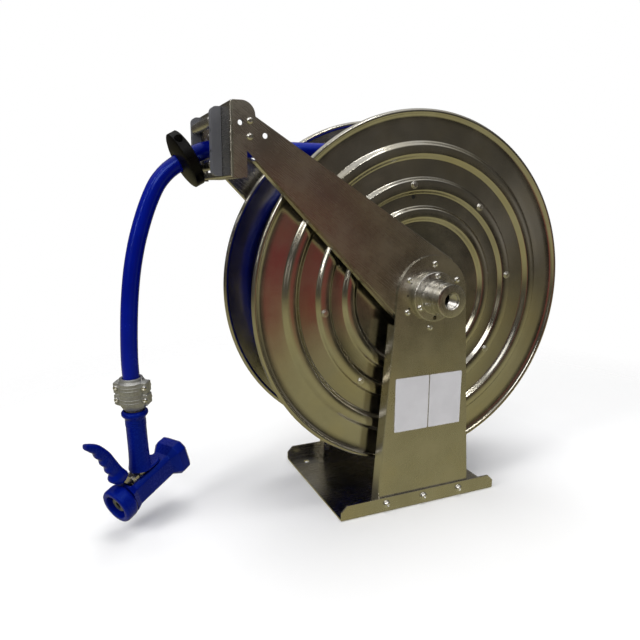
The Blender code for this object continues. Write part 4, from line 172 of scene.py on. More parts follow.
def steel(name, rough, along=None, turn=(0, 0, 0)):
    """Stainless sheet: fine grain along one way or round the axle, cloudy marks, slight waves."""
    mat, nt, sh = tree(name)
    where = coords(nt, turn, along) if along else polar(nt, 2600, 3.0)
    fine = noise(nt, where, 1.0, 2)
    cloud = noise(nt, coords(nt), 16.0, 5, 0.6)
    broad = noise(nt, coords(nt, scale=(1, 1, 0.6)), 5.0, 2)
    blotch = noise(nt, coords(nt, shift=(3, 1, 7)), 11.0, 4, 0.5)
    base = tint(nt, cloud, STEEL_DARK, STEEL_LIGHT, 0.32, 0.70)
    polish = span(nt, cloud, rough - 0.03, rough + 0.06)
    feed(nt, sh, {
        "Base Color": patch(nt, base, span(nt, blotch, 0.0, 0.55, 0.46, 0.68), STEEL_STAIN),
        "Roughness": add(nt, polish, span(nt, fine, -0.04, 0.04)),
        "Metallic": 1.0,
    })
    if not along:
        tangent = node(nt, "ShaderNodeTangent", direction_type="RADIAL", axis="Y").outputs[0]
        feed(nt, sh, {"Anisotropic": 0.55, "Anisotropic Rotation": 0.25, "Tangent": tangent})
    bump(nt, sh, add(nt, span(nt, fine, 0, 0.05, 0, 1), broad), 0.5, 0.0006)
    return mat


def turned(name, dark, light, rough):
    """Steel turned on a lathe, with fine rings and handling marks."""
    mat, nt, sh = tree(name)
    rings = noise(nt, polar(nt, 1500, 0.4), 1.0, 2)
    length = noise(nt, coords(nt, scale=(2, 900, 2)), 1.0, 2)
    marks = noise(nt, coords(nt), 60.0, 5, 0.7)
    polish = span(nt, marks, rough - 0.04, rough + 0.1)
    feed(nt, sh, {
        "Base Color": tint(nt, marks, dark, light),
        "Roughness": add(nt, polish, span(nt, rings, -0.04, 0.05)),
        "Metallic": 1.0,
    })
    bump(nt, sh, add(nt, rings, length), 0.18, 0.0003)
    return mat


def cast(name, dark, light, rough, metal, size, depth):
    """Sand or die cast skin: pitted, uneven, darker in the pits."""
    mat, nt, sh = tree(name)
    pits = noise(nt, coords(nt), size, 6, 0.7)
    broad = noise(nt, coords(nt), size / 9, 3)
    feed(nt, sh, {
        "Base Color": tint(nt, add(nt, pits, broad, 0.5), dark, light, 0.45, 0.95),
        "Roughness": span(nt, pits, rough + 0.12, rough - 0.08),
        "Metallic": metal,
    })
    bump(nt, sh, pits, 0.6, depth)
    return mat


def rubber(name, dark, light, rough, size=300.0, depth=0.00012, shine=0.5, gleam=(1.0, 1.0, 1.0), coat=0.0):
    """Moulded or extruded rubber: a touch of mottling and a fine skin."""
    mat, nt, sh = tree(name)
    fine = noise(nt, coords(nt), size, 3, 0.6)
    broad = noise(nt, coords(nt), 14.0, 4, 0.6)
    polish = span(nt, broad, rough - 0.04, rough + 0.08)
    feed(nt, sh, {
        "Base Color": tint(nt, broad, dark, light),
        "Roughness": add(nt, polish, span(nt, fine, -0.04, 0.04)),
        "Specular IOR Level": shine,
        "Specular Tint": (*gleam, 1),
        "Coat Weight": coat,
        "Coat Roughness": 0.09,
    })
    bump(nt, sh, fine, 0.35, depth)
    return mat


def paper(name):
    mat, nt, sh = tree(name)
    fine = noise(nt, coords(nt), 500.0, 3)
    stain = noise(nt, coords(nt), 25.0, 5)
    feed(nt, sh, {
        "Base Color": tint(nt, stain, (0.62, 0.61, 0.625), (0.70, 0.69, 0.705)),
        "Roughness": span(nt, fine, 0.42, 0.55),
    })
    bump(nt, sh, fine, 0.12, 0.0001)
    return mat


def make_materials():
    lean = radians(37)
    return {
        "disc": steel("disc_steel", 0.17),
        "post": steel("post_steel", 0.27, along=(900, 900, 700)),
        "arm": steel("arm_steel", 0.26, along=(14, 2600, 2600), turn=(0, -lean, 0)),
        "base": steel("base_steel", 0.24, along=(12, 2200, 2200)),
        "bracket": steel("bracket_steel", 0.26, along=(2200, 12, 2200)),
        "turned": turned("turned_steel", (0.50, 0.485, 0.45), (0.66, 0.64, 0.60), 0.24),
        "bright": turned("bright_screws", (0.62, 0.61, 0.58), (0.80, 0.79, 0.76), 0.20),
        "cast": cast("cast_hub", (0.34, 0.33, 0.31), (0.55, 0.54, 0.51), 0.42, 1.0, 260.0, 0.0004),
        "clamp": cast("cast_clamp", (0.24, 0.24, 0.225), (0.46, 0.46, 0.44), 0.36, 0.75, 420.0, 0.0006),
        "hose": rubber("hose_cover", (0.0003, 0.0036, 0.155), (0.0005, 0.0056, 0.21), 0.20, 240.0, 0.00003,
                       shine=0.45, gleam=(0.15, 0.32, 1.0), coat=0.12),
        "gun": rubber("gun_rubber", (0.0003, 0.0040, 0.120), (0.0005, 0.0062, 0.165), 0.26, 340.0, 0.00005,
                      shine=0.40, gleam=(0.12, 0.28, 1.0)),
        "black": rubber("stop_rubber", (0.0010, 0.0009, 0.0009), (0.0022, 0.0020, 0.0020), 0.34, 420.0,
                        0.00008, shine=0.12),
        "block": rubber("block_plastic", (0.085, 0.087, 0.098), (0.120, 0.122, 0.135), 0.38, 300.0, 0.0001),
        "seal": rubber("seal_rubber", (0.01, 0.01, 0.01), (0.02, 0.02, 0.02), 0.5),
        "spring": turned("spring_steel", (0.16, 0.165, 0.18), (0.28, 0.29, 0.31), 0.3),
        "bronze": turned("bronze", (0.38, 0.24, 0.10), (0.52, 0.34, 0.16), 0.32),
        "paper": paper("label_paper"),
        # painted shade: a near-black stand-in for the shade inside holes and dimples
        "hole": rubber("painted_hole_shade", (0.004, 0.004, 0.004), (0.008, 0.008, 0.008), 0.7),
    }


# ------------------------------------------------------------------ mesh tools
def frame_at(origin, along, across=None):
    z = Vector(along).normalized()
    x = Vector(across) if across is not None else z.orthogonal()
    x = (x - x.dot(z) * z).normalized()
    place = Matrix((x, z.cross(x), z)).transposed().to_4x4()
    place.translation = Vector(origin)
    return place


def hexagon(angle):
    return cos(pi / 6) / cos((angle % (pi / 3)) - pi / 6)


def lathe(bm, profile, sides, place=ONE, sweep=tau, flats=()):
    """Turn (radius, height) points about local Z; rings listed in flats become hexagons."""
    full = abs(sweep - tau) < 1e-6
    steps = sides if full else sides + 1
    rings = []
    for i, (radius, height) in enumerate(profile):
        if radius == 0:
            rings.append([bm.verts.new(place @ Vector((0, 0, height)))])
            continue
        ring = []
        for k in range(steps):
            a = sweep * k / sides
            r = radius * (hexagon(a) if i in flats else 1)
            ring.append(bm.verts.new(place @ Vector((r * cos(a), r * sin(a), height))))
        rings.append(ring)
    pairs = list(zip(rings, rings[1:]))
    if profile[0][0] != 0:
        pairs.append((rings[-1], rings[0]))
    for low, high in pairs:
        for k in range(sides):
            j = (k + 1) % steps
            corners = [low[k % len(low)], low[j % len(low)], high[j % len(high)], high[k % len(high)]]
            unique = list(dict.fromkeys(corners))
            if len(unique) > 2:
                bm.faces.new(unique)
    if not full:
        for k in (0, steps - 1):
            bm.faces.new([ring[k] for ring in rings])
    return bm


def prism(bm, outline, low, high, place=YA):
    bottom = [bm.verts.new(place @ Vector((u, v, low))) for u, v in outline]
    top = [bm.verts.new(place @ Vector((u, v, high))) for u, v in outline]
    bm.faces.new(bottom)
    bm.faces.new(list(reversed(top)))
    for k in range(len(outline)):
        j = (k + 1) % len(outline)
        bm.faces.new([bottom[k], bottom[j], top[j], top[k]])
    return bm


def loft(bm, sections):
    loops = [[bm.verts.new(p) for p in s] for s in sections]
    n = len(loops[0])
    for low, high in zip(loops, loops[1:]):
        for k in range(n):
            j = (k + 1) % n
            bm.faces.new([low[k], low[j], high[j], high[k]])
    bm.faces.new(loops[0])
    bm.faces.new(list(reversed(loops[-1])))
    return bm


def arc(centre, radius, start, stop, steps):
    turn = [start + (stop - start) * k / steps for k in range(steps + 1)]
    return [(centre[0] + radius * cos(a), centre[1] + radius * sin(a)) for a in turn]


def rect(u0, u1, v0, v1):
    return [(u0, v0), (u1, v0), (u1, v1), (u0, v1)]


def soft_rect(u0, u1, v0, v1, r, steps=5):
    out = arc((u1 - r, v1 - r), r, 0, pi / 2, steps) + arc((u0 + r, v1 - r), r, pi / 2, pi, steps)
    return out + arc((u0 + r, v0 + r), r, pi, 1.5 * pi, steps) + arc((u1 - r, v0 + r), r, 1.5 * pi, tau,
        steps)


def holes(items, sides=28):
    """Plain cylinders, each from its centre, axis, radius and half length."""
    bm = bmesh.new()
    for centre, along, radius, half in items:
        lathe(bm, [(0, -half), (radius, -half), (radius, half), (0, half)], sides, frame_at(centre, along))
    return bm


def around(radius, count, phase):
    return [(radius * cos(phase + tau * k / count),
             radius * sin(phase + tau * k / count)) for k in range(count)]


def round_edges(bm, test, offset, segments=4):
    edges = [e for e in bm.edges if all(test(v.co) for v in e.verts)]
    bmesh.ops.bevel(bm, geom=edges, offset=offset, segments=segments, affect="EDGES", profile=0.5)


def to_object(name, bm):
    bmesh.ops.recalc_face_normals(bm, faces=bm.faces[:])
    mesh = bpy.data.meshes.new(name)
    bm.to_mesh(mesh)
    bm.free()
    made = bpy.data.objects.new(name, mesh)
    bpy.context.scene.collection.objects.link(made)
    return made


def apply_modifiers(ob):
    graph = bpy.context.evaluated_depsgraph_get()
    done = bpy.data.meshes.new_from_object(ob.evaluated_get(graph))
    ob.modifiers.clear()
    ob.data = done


def make(name, bm, mat, body, nodes=(), joins=(), cuts=(), bevel=0.0, segs=2, limit=30,
         angle=35):
    """A finished piece: unions, cuts and small edge rounding are applied to its mesh."""
    ob = to_object(name, bm)
    spent = []
    for operation, shapes in (("UNION", joins), ("DIFFERENCE", cuts)):
        for shape in shapes:
            tool = to_object(name + "_tool", shape)
            step = ob.modifiers.new("shape", "BOOLEAN")
            step.operation = operation
            step.object = tool
            step.solver = "EXACT"
            spent.append(tool)
    if bevel:
        step = ob.modifiers.new("edges", "BEVEL")
        step.width = bevel
        step.segments = segs
        step.limit_method = "ANGLE"
        step.angle_limit = radians(limit)
    if ob.modifiers:
        apply_modifiers(ob)
    for tool in spent:
        bpy.data.objects.remove(tool, do_unlink=True)
    ob.data.materials.clear()
    ob.data.materials.append(mat)
    ob.data.shade_smooth()
    ob.data.set_sharp_from_angle(angle=radians(angle))
    flat = ob.modifiers.new("flat", "WEIGHTED_NORMAL")
    flat.keep_sharp = True
    apply_modifiers(ob)
    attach(ob, body)
    if nodes:
        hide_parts(*nodes)
    return ob


def tube_curve(name, points, mat, body, nodes):
    curve = bpy.data.curves.new(name, "CURVE")
    curve.dimensions = "3D"
    curve.bevel_depth = HOSE_RADIUS
    curve.bevel_resolution = 8
    curve.use_fill_caps = True
    spline = curve.splines.new("POLY")
    spline.points.add(len(points) - 1)
    for knot, point in zip(spline.points, points):
        knot.co = (*point, 1)
    curve.materials.append(mat)
    spline.use_smooth = True
    ob = bpy.data.objects.new(name, curve)
    bpy.context.scene.collection.objects.link(ob)
    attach(ob, body)
    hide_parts(*nodes)
    return ob


# ------------------------------------------------------------------ screws
def button_screw(bm, seat, out, r, h, socket=0.5):
    """Domed head with a hexagon socket."""
    s = r * socket
    profile = [(0, h * 0.35), (s, h * 0.35), (s, h * 0.97), (r * 0.66, h * 0.94), (r * 0.86, h * 0.68),
               (r * 0.97, h * 0.34), (r, 0.0), (0, -0.0004)]
    lathe(bm, profile, 24, frame_at(seat, out), flats=(1, 2))


def hex_bolt(bm, seat, out, r, h, washer=True):
    """Hexagon head, chamfered, on a round washer."""
    place = frame_at(seat, out)
    if washer:
        lathe(bm, [(0, -0.0003), (r * 1.28, -0.0003), (r * 1.28, 0.0009), (r * 1.22, 0.0012), (0, 0.0012)],
              28, place)
    low = 0.0012 if washer else 0.0
    profile = [(0, low), (r, low), (r, low + h * 0.8), (r * 0.86, low + h), (0, low + h)]
    lathe(bm, profile, 24, place, flats=(1, 2))


def fasteners(m, name, bm, body="frame", bevel=0.0):
    return make(name, bm, m["bright"], body, bevel=bevel)


# ------------------------------------------------------------------ frame sheets
POST_OUT = 0.1207            # outer faces of the posts and arms, from the mid plane
ARM_OUT = 0.1174
SHEET = 0.003
BASE_X = -0.008              # middle of the base
BOLT_Z = 0.0143
HUB = around(0.0528, 6, radians(27.3))
PORT_SCREWS = tuple(radians(a) for a in (88, 208, 328))
BOLT_X = (-0.077, -0.003, 0.071)


def build_base(m):
    w, t, h, r = 0.124, SHEET, 0.0266, 0.0032
    outer = arc((-w + r, r), r, pi, 1.5 * pi, 5) + arc((w - r, r), r, 1.5 * pi, tau, 5) + [(w, h)]
    inner = [(w - t, h), (w - t, t + 0.0006), (w - t - 0.0006, t), (-w + t + 0.0006, t),
             (-w + t, t + 0.0006), (-w + t, h), (-w, h)]
    along_x = Matrix.Translation((BASE_X, 0, 0)) @ XA
    bm = prism(bmesh.new(), outer + inner, -0.155, 0.155, along_x)
    cuts = bmesh.new()
    for end in (-1, 1):
        tip = BASE_X + end * 0.1604
        wedge = [(tip, 0.0104), (tip, 0.032), (tip - end * 0.0216, 0.032)]
        prism(cuts, wedge, -0.2, 0.2)
    drill = holes([((BASE_X + x * 0.125, y * 0.094, 0), (0, 0, 1), 0.0055, 0.01) for x in (-1,
        1) for y in (-1, 1)])
    make("base_channel", bm, m["base"], "frame", ["base_plate"], cuts=[cuts, drill],
         bevel=0.0005)
    bolts = bmesh.new()
    for x in BOLT_X:
        for side in (-1, 1):
            lathe(bolts, [(0, -0.0004), (0.0072, -0.0004), (0.0072, 0.0008), (0.0068, 0.0011), (0, 0.0011)],
                  28,
                  frame_at((x, side * 0.124, BOLT_Z), (0, side, 0)))
            button_screw(bolts, (x, side * 0.1250, BOLT_Z), (0, side, 0), 0.0062, 0.0040, 0.45)
            lathe(bolts, [(0, -0.001), (0.0038, -0.001), (0.0038, 0.0066), (0.0033, 0.0071), (0, 0.0071)],
                  20,
                  frame_at((x, side * 0.1177, BOLT_Z), (0, -side, 0)))
            hex_bolt(bolts, (x, side * 0.1176, BOLT_Z), (0, -side, 0), 0.0062, 0.0045)
    fasteners(m, "base_bolts", bolts, bevel=0.0002)


def fold(start, stop, depth=SHEET):
    """Outline of a folded flange along a sheet's edge."""
    along = (Vector(stop) - Vector(start)).normalized()
    n = Vector((-along.y, along.x))
    a, b = Vector(start), Vector(stop)
    return [tuple(a + n * 0.00005), tuple(b + n * 0.00005), tuple(b + n * depth), tuple(a + n * depth)]


def near_line(co, a, b, tolerance=0.0004):
    """Whether a point lies on the line from a to b, seen along the axle."""
    p = Vector((co.x, co.z))
    a, b = Vector(a), Vector(b)
    d = (b - a).normalized()
    off = abs((p - a).x * d.y - (p - a).y * d.x)
    return off < tolerance and -0.0005 < (p - a).dot(d) < (b - a).length + 0.0005


def build_posts(m):
    foot, shoulder = 0.0033, 0.325
    right = ((0.094, foot), (0.0695, shoulder))
    left = ((-0.094, foot), (-0.0695, shoulder))
    outline = [right[0], right[1]] + arc((0, AXLE_Z), 0.067, 0, pi, 44) + [left[1], left[0]]
    for name, side in SIDES:
        bm = prism(bmesh.new(), outline, side * (POST_OUT - SHEET), side * POST_OUT)
        outer = side * POST_OUT
        round_edges(bm, lambda co: abs(co.y - outer) < 1e-5 and (near_line(co, *right) or near_line(co,
            *left)), 0.0026)
        folds = bmesh.new()
        strip = fold(*right)
        for s in (strip, [(-u, v) for u, v in strip]):
            prism(folds, s, side * (POST_OUT - 0.0027), side * (POST_OUT - 0.022))
        drill = [((0, side * 0.119, AXLE_Z), (0, 1, 0), 0.026, 0.01)]
        drill += [((x, side * 0.119, BOLT_Z), (0, 1, 0), 0.0044, 0.01) for x in BOLT_X]
        make(name + "_post_sheet", bm, m["post"], "frame", [name + "_post"], joins=[folds],
             cuts=[holes(drill, 40)], bevel=0.0004)
        heads = bmesh.new()
        for x, z in HUB:
            button_screw(heads, (x, outer, AXLE_Z + z), (0, side, 0), 0.0054, 0.0033)
        fasteners(m, name + "_hub_screws", heads)
    # painted shade: thin near-black discs on the front post stand in for the shade in three rivet dimples
    dimples = bmesh.new()
    for angle in (150, 176, 202):
        x, z = 0.0475 * cos(radians(angle)), 0.0475 * sin(radians(angle))
        lathe(dimples, [(0, 0), (0.0016, 0), (0.0016, 0.00015), (0, 0.0002)], 16,
              frame_at((x, -POST_OUT, AXLE_Z + z), (0, -1, 0)))
    make("rivet_dimple_painted_shade", dimples, m["hole"], "frame")


TOP_SLOPE, TOP_OFFSET = radians(31.6), 0.071      # of the arm's edges, from the axle
LOW_SLOPE, LOW_OFFSET = radians(46.05), 0.067


def arm_top(x):
    return AXLE_Z + (TOP_OFFSET - sin(TOP_SLOPE) * x) / cos(TOP_SLOPE)


def arm_low(x):
    return AXLE_Z - (LOW_OFFSET + sin(LOW_SLOPE) * x) / cos(LOW_SLOPE)


SCREWS_OUT = ((-0.3084, 0.6351), (-0.3089, 0.6138))
BRACKET_X = -0.3333          # inner face of the outlet's plate
ROLLER_X = -0.3452           # of the two level rollers
ROLLER_Z = (0.641, 0.5801)
BLOCK_SCREW_Z = (0.597, 0.626)


def build_arms(m):
    top_foot = (TOP_OFFSET * sin(TOP_SLOPE), AXLE_Z + TOP_OFFSET * cos(TOP_SLOPE))
    low_foot = (-LOW_OFFSET * sin(LOW_SLOPE), AXLE_Z - LOW_OFFSET * cos(LOW_SLOPE))
    outline = [(-0.333, 0.559), (-0.333, 0.662)] + arc((-0.3205, 0.642), 0.020, pi / 2, 0, 12)
    outline += [(-0.3005, arm_top(-0.3005)), top_foot]
    hub_start = atan2(top_foot[1] - AXLE_Z, top_foot[0]) - radians(8)
    hub_stop = atan2(low_foot[1] - AXLE_Z, low_foot[0]) + radians(6)
    outline += arc((0, AXLE_Z), 0.066, hub_start, hub_stop, 40)
    outline += [low_foot, (-0.3133, arm_low(-0.3133)), (-0.3133, 0.559)]
    top_end = top_foot[0] - 0.001
    top = ((top_end, arm_top(top_end)), (-0.2925, arm_top(-0.2925)))
    low = ((-0.2993, arm_low(-0.2993)), (low_foot[0], arm_low(low_foot[0])))
    edge_top = ((-0.3005, arm_top(-0.3005)), top_foot)
    edge_low = (low_foot, (-0.3133, arm_low(-0.3133)))
    for name, side in SIDES:
        bm = prism(bmesh.new(), outline, side * (ARM_OUT - SHEET), side * ARM_OUT)
        outer = side * ARM_OUT
        round_edges(bm, lambda co: abs(co.y - outer) < 1e-5 and (near_line(co, *edge_top) or near_line(co,
            *edge_low)), 0.0024)
        folds = bmesh.new()
        for s in (fold(*top), fold(low[1], low[0])):
            prism(folds, s, side * (ARM_OUT - 0.0027), side * (ARM_OUT - 0.017))
        drill = [((0, outer, AXLE_Z), (0, 1, 0), 0.026, 0.01)]
        drill += [((x, outer, z), (0, 1, 0), 0.004, 0.01) for x,
                  z in ((-0.3219, 0.6327), (-0.2864, 0.6157))]
        if side > 0:
            drill.append(((PAWL.x, outer, PAWL.z), (0, 1, 0), 0.0045, 0.01))
        make(name + "_arm_sheet", bm, m["arm"], "frame", [name + "_arm"], joins=[folds],
             cuts=[holes(drill, 40)], bevel=0.0004)
        heads = bmesh.new()
        for x, z in SCREWS_OUT:
            button_screw(heads, (x, outer, z), (0, side, 0), 0.0048, 0.0028)
            hex_bolt(heads, (x, side * 0.1111, z), (0, -side, 0), 0.0042, 0.0032)
        fasteners(m, name + "_outlet_screws", heads)


def build_bracket(m):
    face = BRACKET_X
    bm = prism(bmesh.new(), rect(face - 0.003, face, 0.560, 0.662), -0.1141, 0.1141)
    round_edges(bm, lambda co: abs(co.x - face + 0.003) < 1e-5 and abs(abs(co.y) - 0.1141) < 1e-5, 0.0026)
    parts = bmesh.new()
    cheek = [(face - 0.0004, 0.5604), (-0.3163, 0.5604), (-0.3163, 0.603), (-0.299, 0.603), (-0.299, 0.642)]
    cheek += arc((-0.3205, 0.6415), 0.0195, 0, pi / 2, 8)[1:] + [(face - 0.0004, 0.661)]
    for side in (-1, 1):
        prism(parts, cheek, side * 0.1111, side * 0.1140)
    lips = bmesh.new()
    for low in (0.5601, 0.6589):
        prism(lips, rect(face - 0.001, face + 0.030, low, low + 0.003), -0.060, 0.060)
    window = prism(bmesh.new(), soft_rect(-0.050, 0.050, 0.570, 0.652, 0.006), -0.345, -0.325, XA)
    drill = [((x, side * 0.1126, z), (0, 1, 0), 0.0029, 0.004) for x, z in SCREWS_OUT for side in (-1, 1)]
    drill += [((-0.3219, side * 0.1126, 0.6327), (0, 1, 0), 0.004, 0.004) for side in (-1, 1)]
    drill += [((-0.318, side * 0.032, z), (0, 0, 1), 0.0034, 0.008) for side in (-1, 1) for z in (0.5615,
        0.6605)]
    make("outlet_plate", bm, m["bracket"], "frame", ["outlet_bracket"], joins=[parts, lips],
         cuts=[window, holes(drill)], bevel=0.0004)
    fixings = bmesh.new()
    for side in (-1, 1):
        for z in (0.586, 0.640):
            button_screw(fixings, (face, side * 0.0635, z), (1, 0, 0), 0.0045, 0.0028)
    fasteners(m, "block_screws", fixings)
    back, front = face - 0.0033, face - 0.0183
    low, high, r = 0.5625, 0.6595, 0.008
    outline = [(back, low), (back, high)] + arc((front + r, high - r), r, pi / 2, pi,
        10) + arc((front + r, low + r), r, pi, 1.5 * pi, 10)
    for name, side in SIDES:
        block = prism(bmesh.new(), outline, side * 0.057, side * 0.070)
        pin_holes = holes([((ROLLER_X, side * 0.057, z), (0, 1, 0), 0.0036,
                            0.0065) for z in reversed(ROLLER_Z)])
        bolts = holes([((front, side * 0.0635, z), (1, 0, 0), 0.0034, 0.004) for z in BLOCK_SCREW_Z])
        make("guide_block_" + name, block, m["block"], "frame", ["roller_block_" + name],
             cuts=[pin_holes, bolts], bevel=0.0009, segs=3)
        heads = bmesh.new()
        for z in BLOCK_SCREW_Z:
            button_screw(heads, (front + 0.0035, side * 0.0635, z), (-1, 0, 0), 0.0031, 0.0024)
        fasteners(m, "guide_block_screws_" + name, heads)


def build_rollers(m):
    rollers = (
        ("top_roller", (ROLLER_X, 0, ROLLER_Z[0]), (0, 1, 0), 0.056, 0.0065),
        ("bottom_roller", (ROLLER_X, 0, ROLLER_Z[1]), (0, 1, 0), 0.056, 0.0065),
        ("front_roller", (-0.318, -0.032, 0.611), (0, 0, 1), 0.047, 0.003),
        ("rear_roller", (-0.318, 0.032, 0.611), (0, 0, 1), 0.047, 0.003),
    )
    for name, middle, along, half, pin in rollers:
        place = frame_at(middle, along)
        r = 0.0082
        profile = [(0.0034, -half), (r - 0.0016, -half), (r - 0.0005, -half + 0.0004), (r, -half + 0.0013)]
        profile += [(r, half - 0.0013), (r - 0.0005, half - 0.0004), (r - 0.0016, half), (0.0034, half)]
        make(name + "_sleeve", lathe(bmesh.new(), profile, 48, place), m["turned"], name + "_turning",
             [name])
        reach = half + 0.001 + pin - 0.0003
        rod = [(0, -reach), (0.0026, -reach), (0.003, -reach + 0.0004), (0.003, reach - 0.0004),
               (0.0026, reach), (0, reach)]
        make(name + "_rod", lathe(bmesh.new(), rod, 28, place), m["bright"], "frame", [name + "_pin"])


# ------------------------------------------------------------------ axle
def build_axle(m):
    y0, y1 = 0.121, 0.172
    thread = []
    for k in range(11):
        y = y1 - 0.0028 - k * 0.0018
        thread += [(0.0124, y), (0.0113, y - 0.0009)]
    profile = [(0.0204, y0), (0.0405, y0), (0.041, y0 + 0.0005), (0.041, y0 + 0.0088),
               (0.0403, y0 + 0.0097), (0.0395, y0 + 0.010)]
    profile += [(0.0290, y0 + 0.010), (0.0277, y0 + 0.0104), (0.0272, y0 + 0.0113), (0.027, y0 + 0.013),
                (0.027, y1 - 0.0135), (0.0266, y1 - 0.0130)]
    profile += [(0.0266, y1 - 0.0125), (0.027, y1 - 0.0120), (0.027, y1 - 0.002), (0.0263, y1 - 0.0006),
                (0.0250, y1), (0.0140, y1), (0.0128, y1 - 0.0012)]
    profile += thread + [(0.012, 0.1503), (0.0204, 0.1503)]
    bm = lathe(bmesh.new(), [(r, -y) for r, y in profile], 72, AXLE_Y)
    spots = PORT_SCREWS + (radians(268),)
    drill = holes([((0.0345 * cos(a), -y0, AXLE_Z + 0.0345 * sin(a)), (0, 1, 0), 0.0034,
                    0.02) for a in spots])
    make("inlet_swivel", bm, m["turned"], "frame", ["inlet_body"], cuts=[drill], angle=28)
    for name, a in zip(("top", "left", "right"), PORT_SCREWS):
        bm = bmesh.new()
        button_screw(bm, (0.0345 * cos(a), -y0 - 0.0102, AXLE_Z + 0.0345 * sin(a)), (0, -1, 0), 0.0053,
                     0.0033)
        make("swivel_screw_" + name, bm, m["bright"], "frame", ["inlet_screw_" + name])
    rear = [(0.0153, 0.121), (0.0375, 0.121), (0.038, 0.1215), (0.038, 0.1283), (0.0373, 0.129),
            (0.0255, 0.129), (0.0243, 0.1296), (0.024, 0.131)]
    rear += [(0.024, 0.1398), (0.0232, 0.141), (0.0153, 0.141)]
    make("arbor_clamp_body", lathe(bmesh.new(), rear, 64, AXLE_Y), m["turned"], "frame", ["arbor_clamp"],
         angle=28)
    heads = bmesh.new()
    for a in PORT_SCREWS:
        button_screw(heads, (0.031 * cos(a), 0.129, AXLE_Z + 0.031 * sin(a)), (0, 1, 0), 0.0054, 0.0033)
    button_screw(heads, (0, 0.1350, AXLE_Z + 0.0238), (0, 0, 1), 0.0036, 0.0016)
    fasteners(m, "arbor_clamp_screws", heads)
    rod = [(0, 0.010), (0.0135, 0.010), (0.015, 0.0115), (0.015, 0.1445), (0.0138, 0.146), (0, 0.146)]
    slot = prism(bmesh.new(), rect(-0.03, 0.03, 0.366, 0.374), 0.142, 0.150)
    make("arbor_rod", lathe(bmesh.new(), rod, 48, AXLE_Y), m["turned"], "frame", ["spring_arbor"],
         cuts=[slot], bevel=0.0003)


def build_labels(m):
    for name, u0, u1 in (("label_left", -0.065, 0.0), ("label_right", 0.002, 0.0665)):
        bm = prism(bmesh.new(), soft_rect(u0, u1, 0.141, 0.235, 0.002), -0.1216, -0.1210)
        make(name + "_card", bm, m["paper"], "frame", [name], bevel=0.00012, angle=30)


# ------------------------------------------------------------------ drum
RIBS = ((0.120, 0.128, 0.1398, 0.147), (0.1653, 0.172, 0.1868, 0.1936), (0.221, 0.230, 0.242, 0.251))


DISC_WEB_Y = 0.082
DISC_BOLTS = around(0.1808, 8, radians(6.7))
DRAIN_X, DRAIN_RISE = -0.0182, 0.1606       # of the drain hole, from the axle


def disc_face(inner):
    """Pressed face from hub to rim: eased feet and rounded crests."""
    face = [(inner, 0.0), (0.060, 0.0), (0.095, 0.0)]
    for a, b, c, d in RIBS:
        for s in (0.0, 0.18, 0.4, 0.6, 0.82, 1.0):
            face.append((a + (b - a) * s, 0.006 * (s * s * (3 - 2 * s))))
        face.append(((b + c) / 2, 0.0064))
        for s in (1.0, 0.82, 0.6, 0.4, 0.18, 0.0):
            face.append((d + (c - d) * s, 0.006 * (s * s * (3 - 2 * s))))
    return face + [(0.262, -0.0002), (0.276, -0.0003), (0.286, 0.0)]


def build_discs(m):
    for name, side, inner in (("front", -1, 0.0206), ("rear", 1, 0.0220)):
        face = disc_face(inner)
        bead = arc((0.2955, 0.0), 0.0045, radians(160), radians(-160), 16)
        back = [(r, y - 0.0015) for r, y in reversed(face)]
        profile = [(r, side * (DISC_WEB_Y + y)) for r, y in face + bead + back]
        bm = lathe(bmesh.new(), profile, 200, AXLE_Y)
        cuts = []
        if side < 0:
            drain = (DRAIN_X, -DISC_WEB_Y, AXLE_Z + DRAIN_RISE)
            cuts.append(holes([(drain, (0, 1, 0), 0.0036, 0.01)], 24))
            shade = holes([((DRAIN_X, -0.0812, AXLE_Z + DRAIN_RISE), (0, 1, 0), 0.0036, 0.0005)], 24)
            make("drain_hole_shade", shade, m["hole"], "drum")
        make(name + "_disc_pressing", bm, m["disc"], "drum", [name + "_disc"], cuts=cuts,
             angle=50)
        heads = bmesh.new()
        for x, z in DISC_BOLTS:
            lathe(heads, [(0, -0.0006), (0.0062, -0.0006), (0.0062, 0.0006), (0.0058, 0.0009), (0, 0.0009)],
                  28,
                  frame_at((x, side * 0.0884, AXLE_Z + z), (0, side, 0)))
            hex_bolt(heads, (x, side * 0.0891, AXLE_Z + z), (0, side, 0), 0.0046, 0.0030, washer=False)
        fasteners(m, name + "_disc_bolts", heads, "drum", bevel=0.0002)


def drum_point(radius, angle, y):
    return AXLE + Vector((radius * cos(angle), y, radius * sin(angle)))


def build_winding(m):
    """One unbroken hose: lower layer, climb, outer layer and the straight end."""
    start = pi / 2 - tau * WINDING_TURNS
    climb = tau * CLIMB_TURN
    steps = 48
    low_y = -0.0665
    points = []
    total = round(4.84 * steps)
    first = start - climb - tau * total / steps
    for k in range(total):
        y = low_y + (CLIMB_Y - low_y) * k / total
        points.append(drum_point(LOWER_RADIUS, first + tau * k / steps, y))
    for k in range(6):
        share = k / 6
        radius = LOWER_RADIUS + (WINDING_RADIUS - LOWER_RADIUS) * share * share * (3 - 2 * share)
        y = CLIMB_Y - WINDING_PITCH * CLIMB_TURN * share
        points.append(drum_point(radius, start - climb + climb * share, y))
    for k in range(round(WINDING_TURNS * steps) + 1):
        y = WINDING_START_Y - WINDING_PITCH * k / steps
        points.append(drum_point(WINDING_RADIUS, start + tau * k / steps, y))
    for run in (0.02, 0.05, 0.08, 0.1162):
        points.append(AXLE + Vector((-run, WINDING_END_Y - WINDING_LEAD * run, WINDING_RADIUS)))
    tube_curve("hose_on_drum", points, m["hose"], "drum", ["hose_wound"])
    ring = lathe(bmesh.new(), [(0.1903, -0.0802), (0.205, -0.0802), (0.205, 0.0802), (0.1903, 0.0802)], 128,
                 AXLE_Y)
    make("hose_under_layers", ring, m["hose"], "drum", ["hose_inner_layers"])


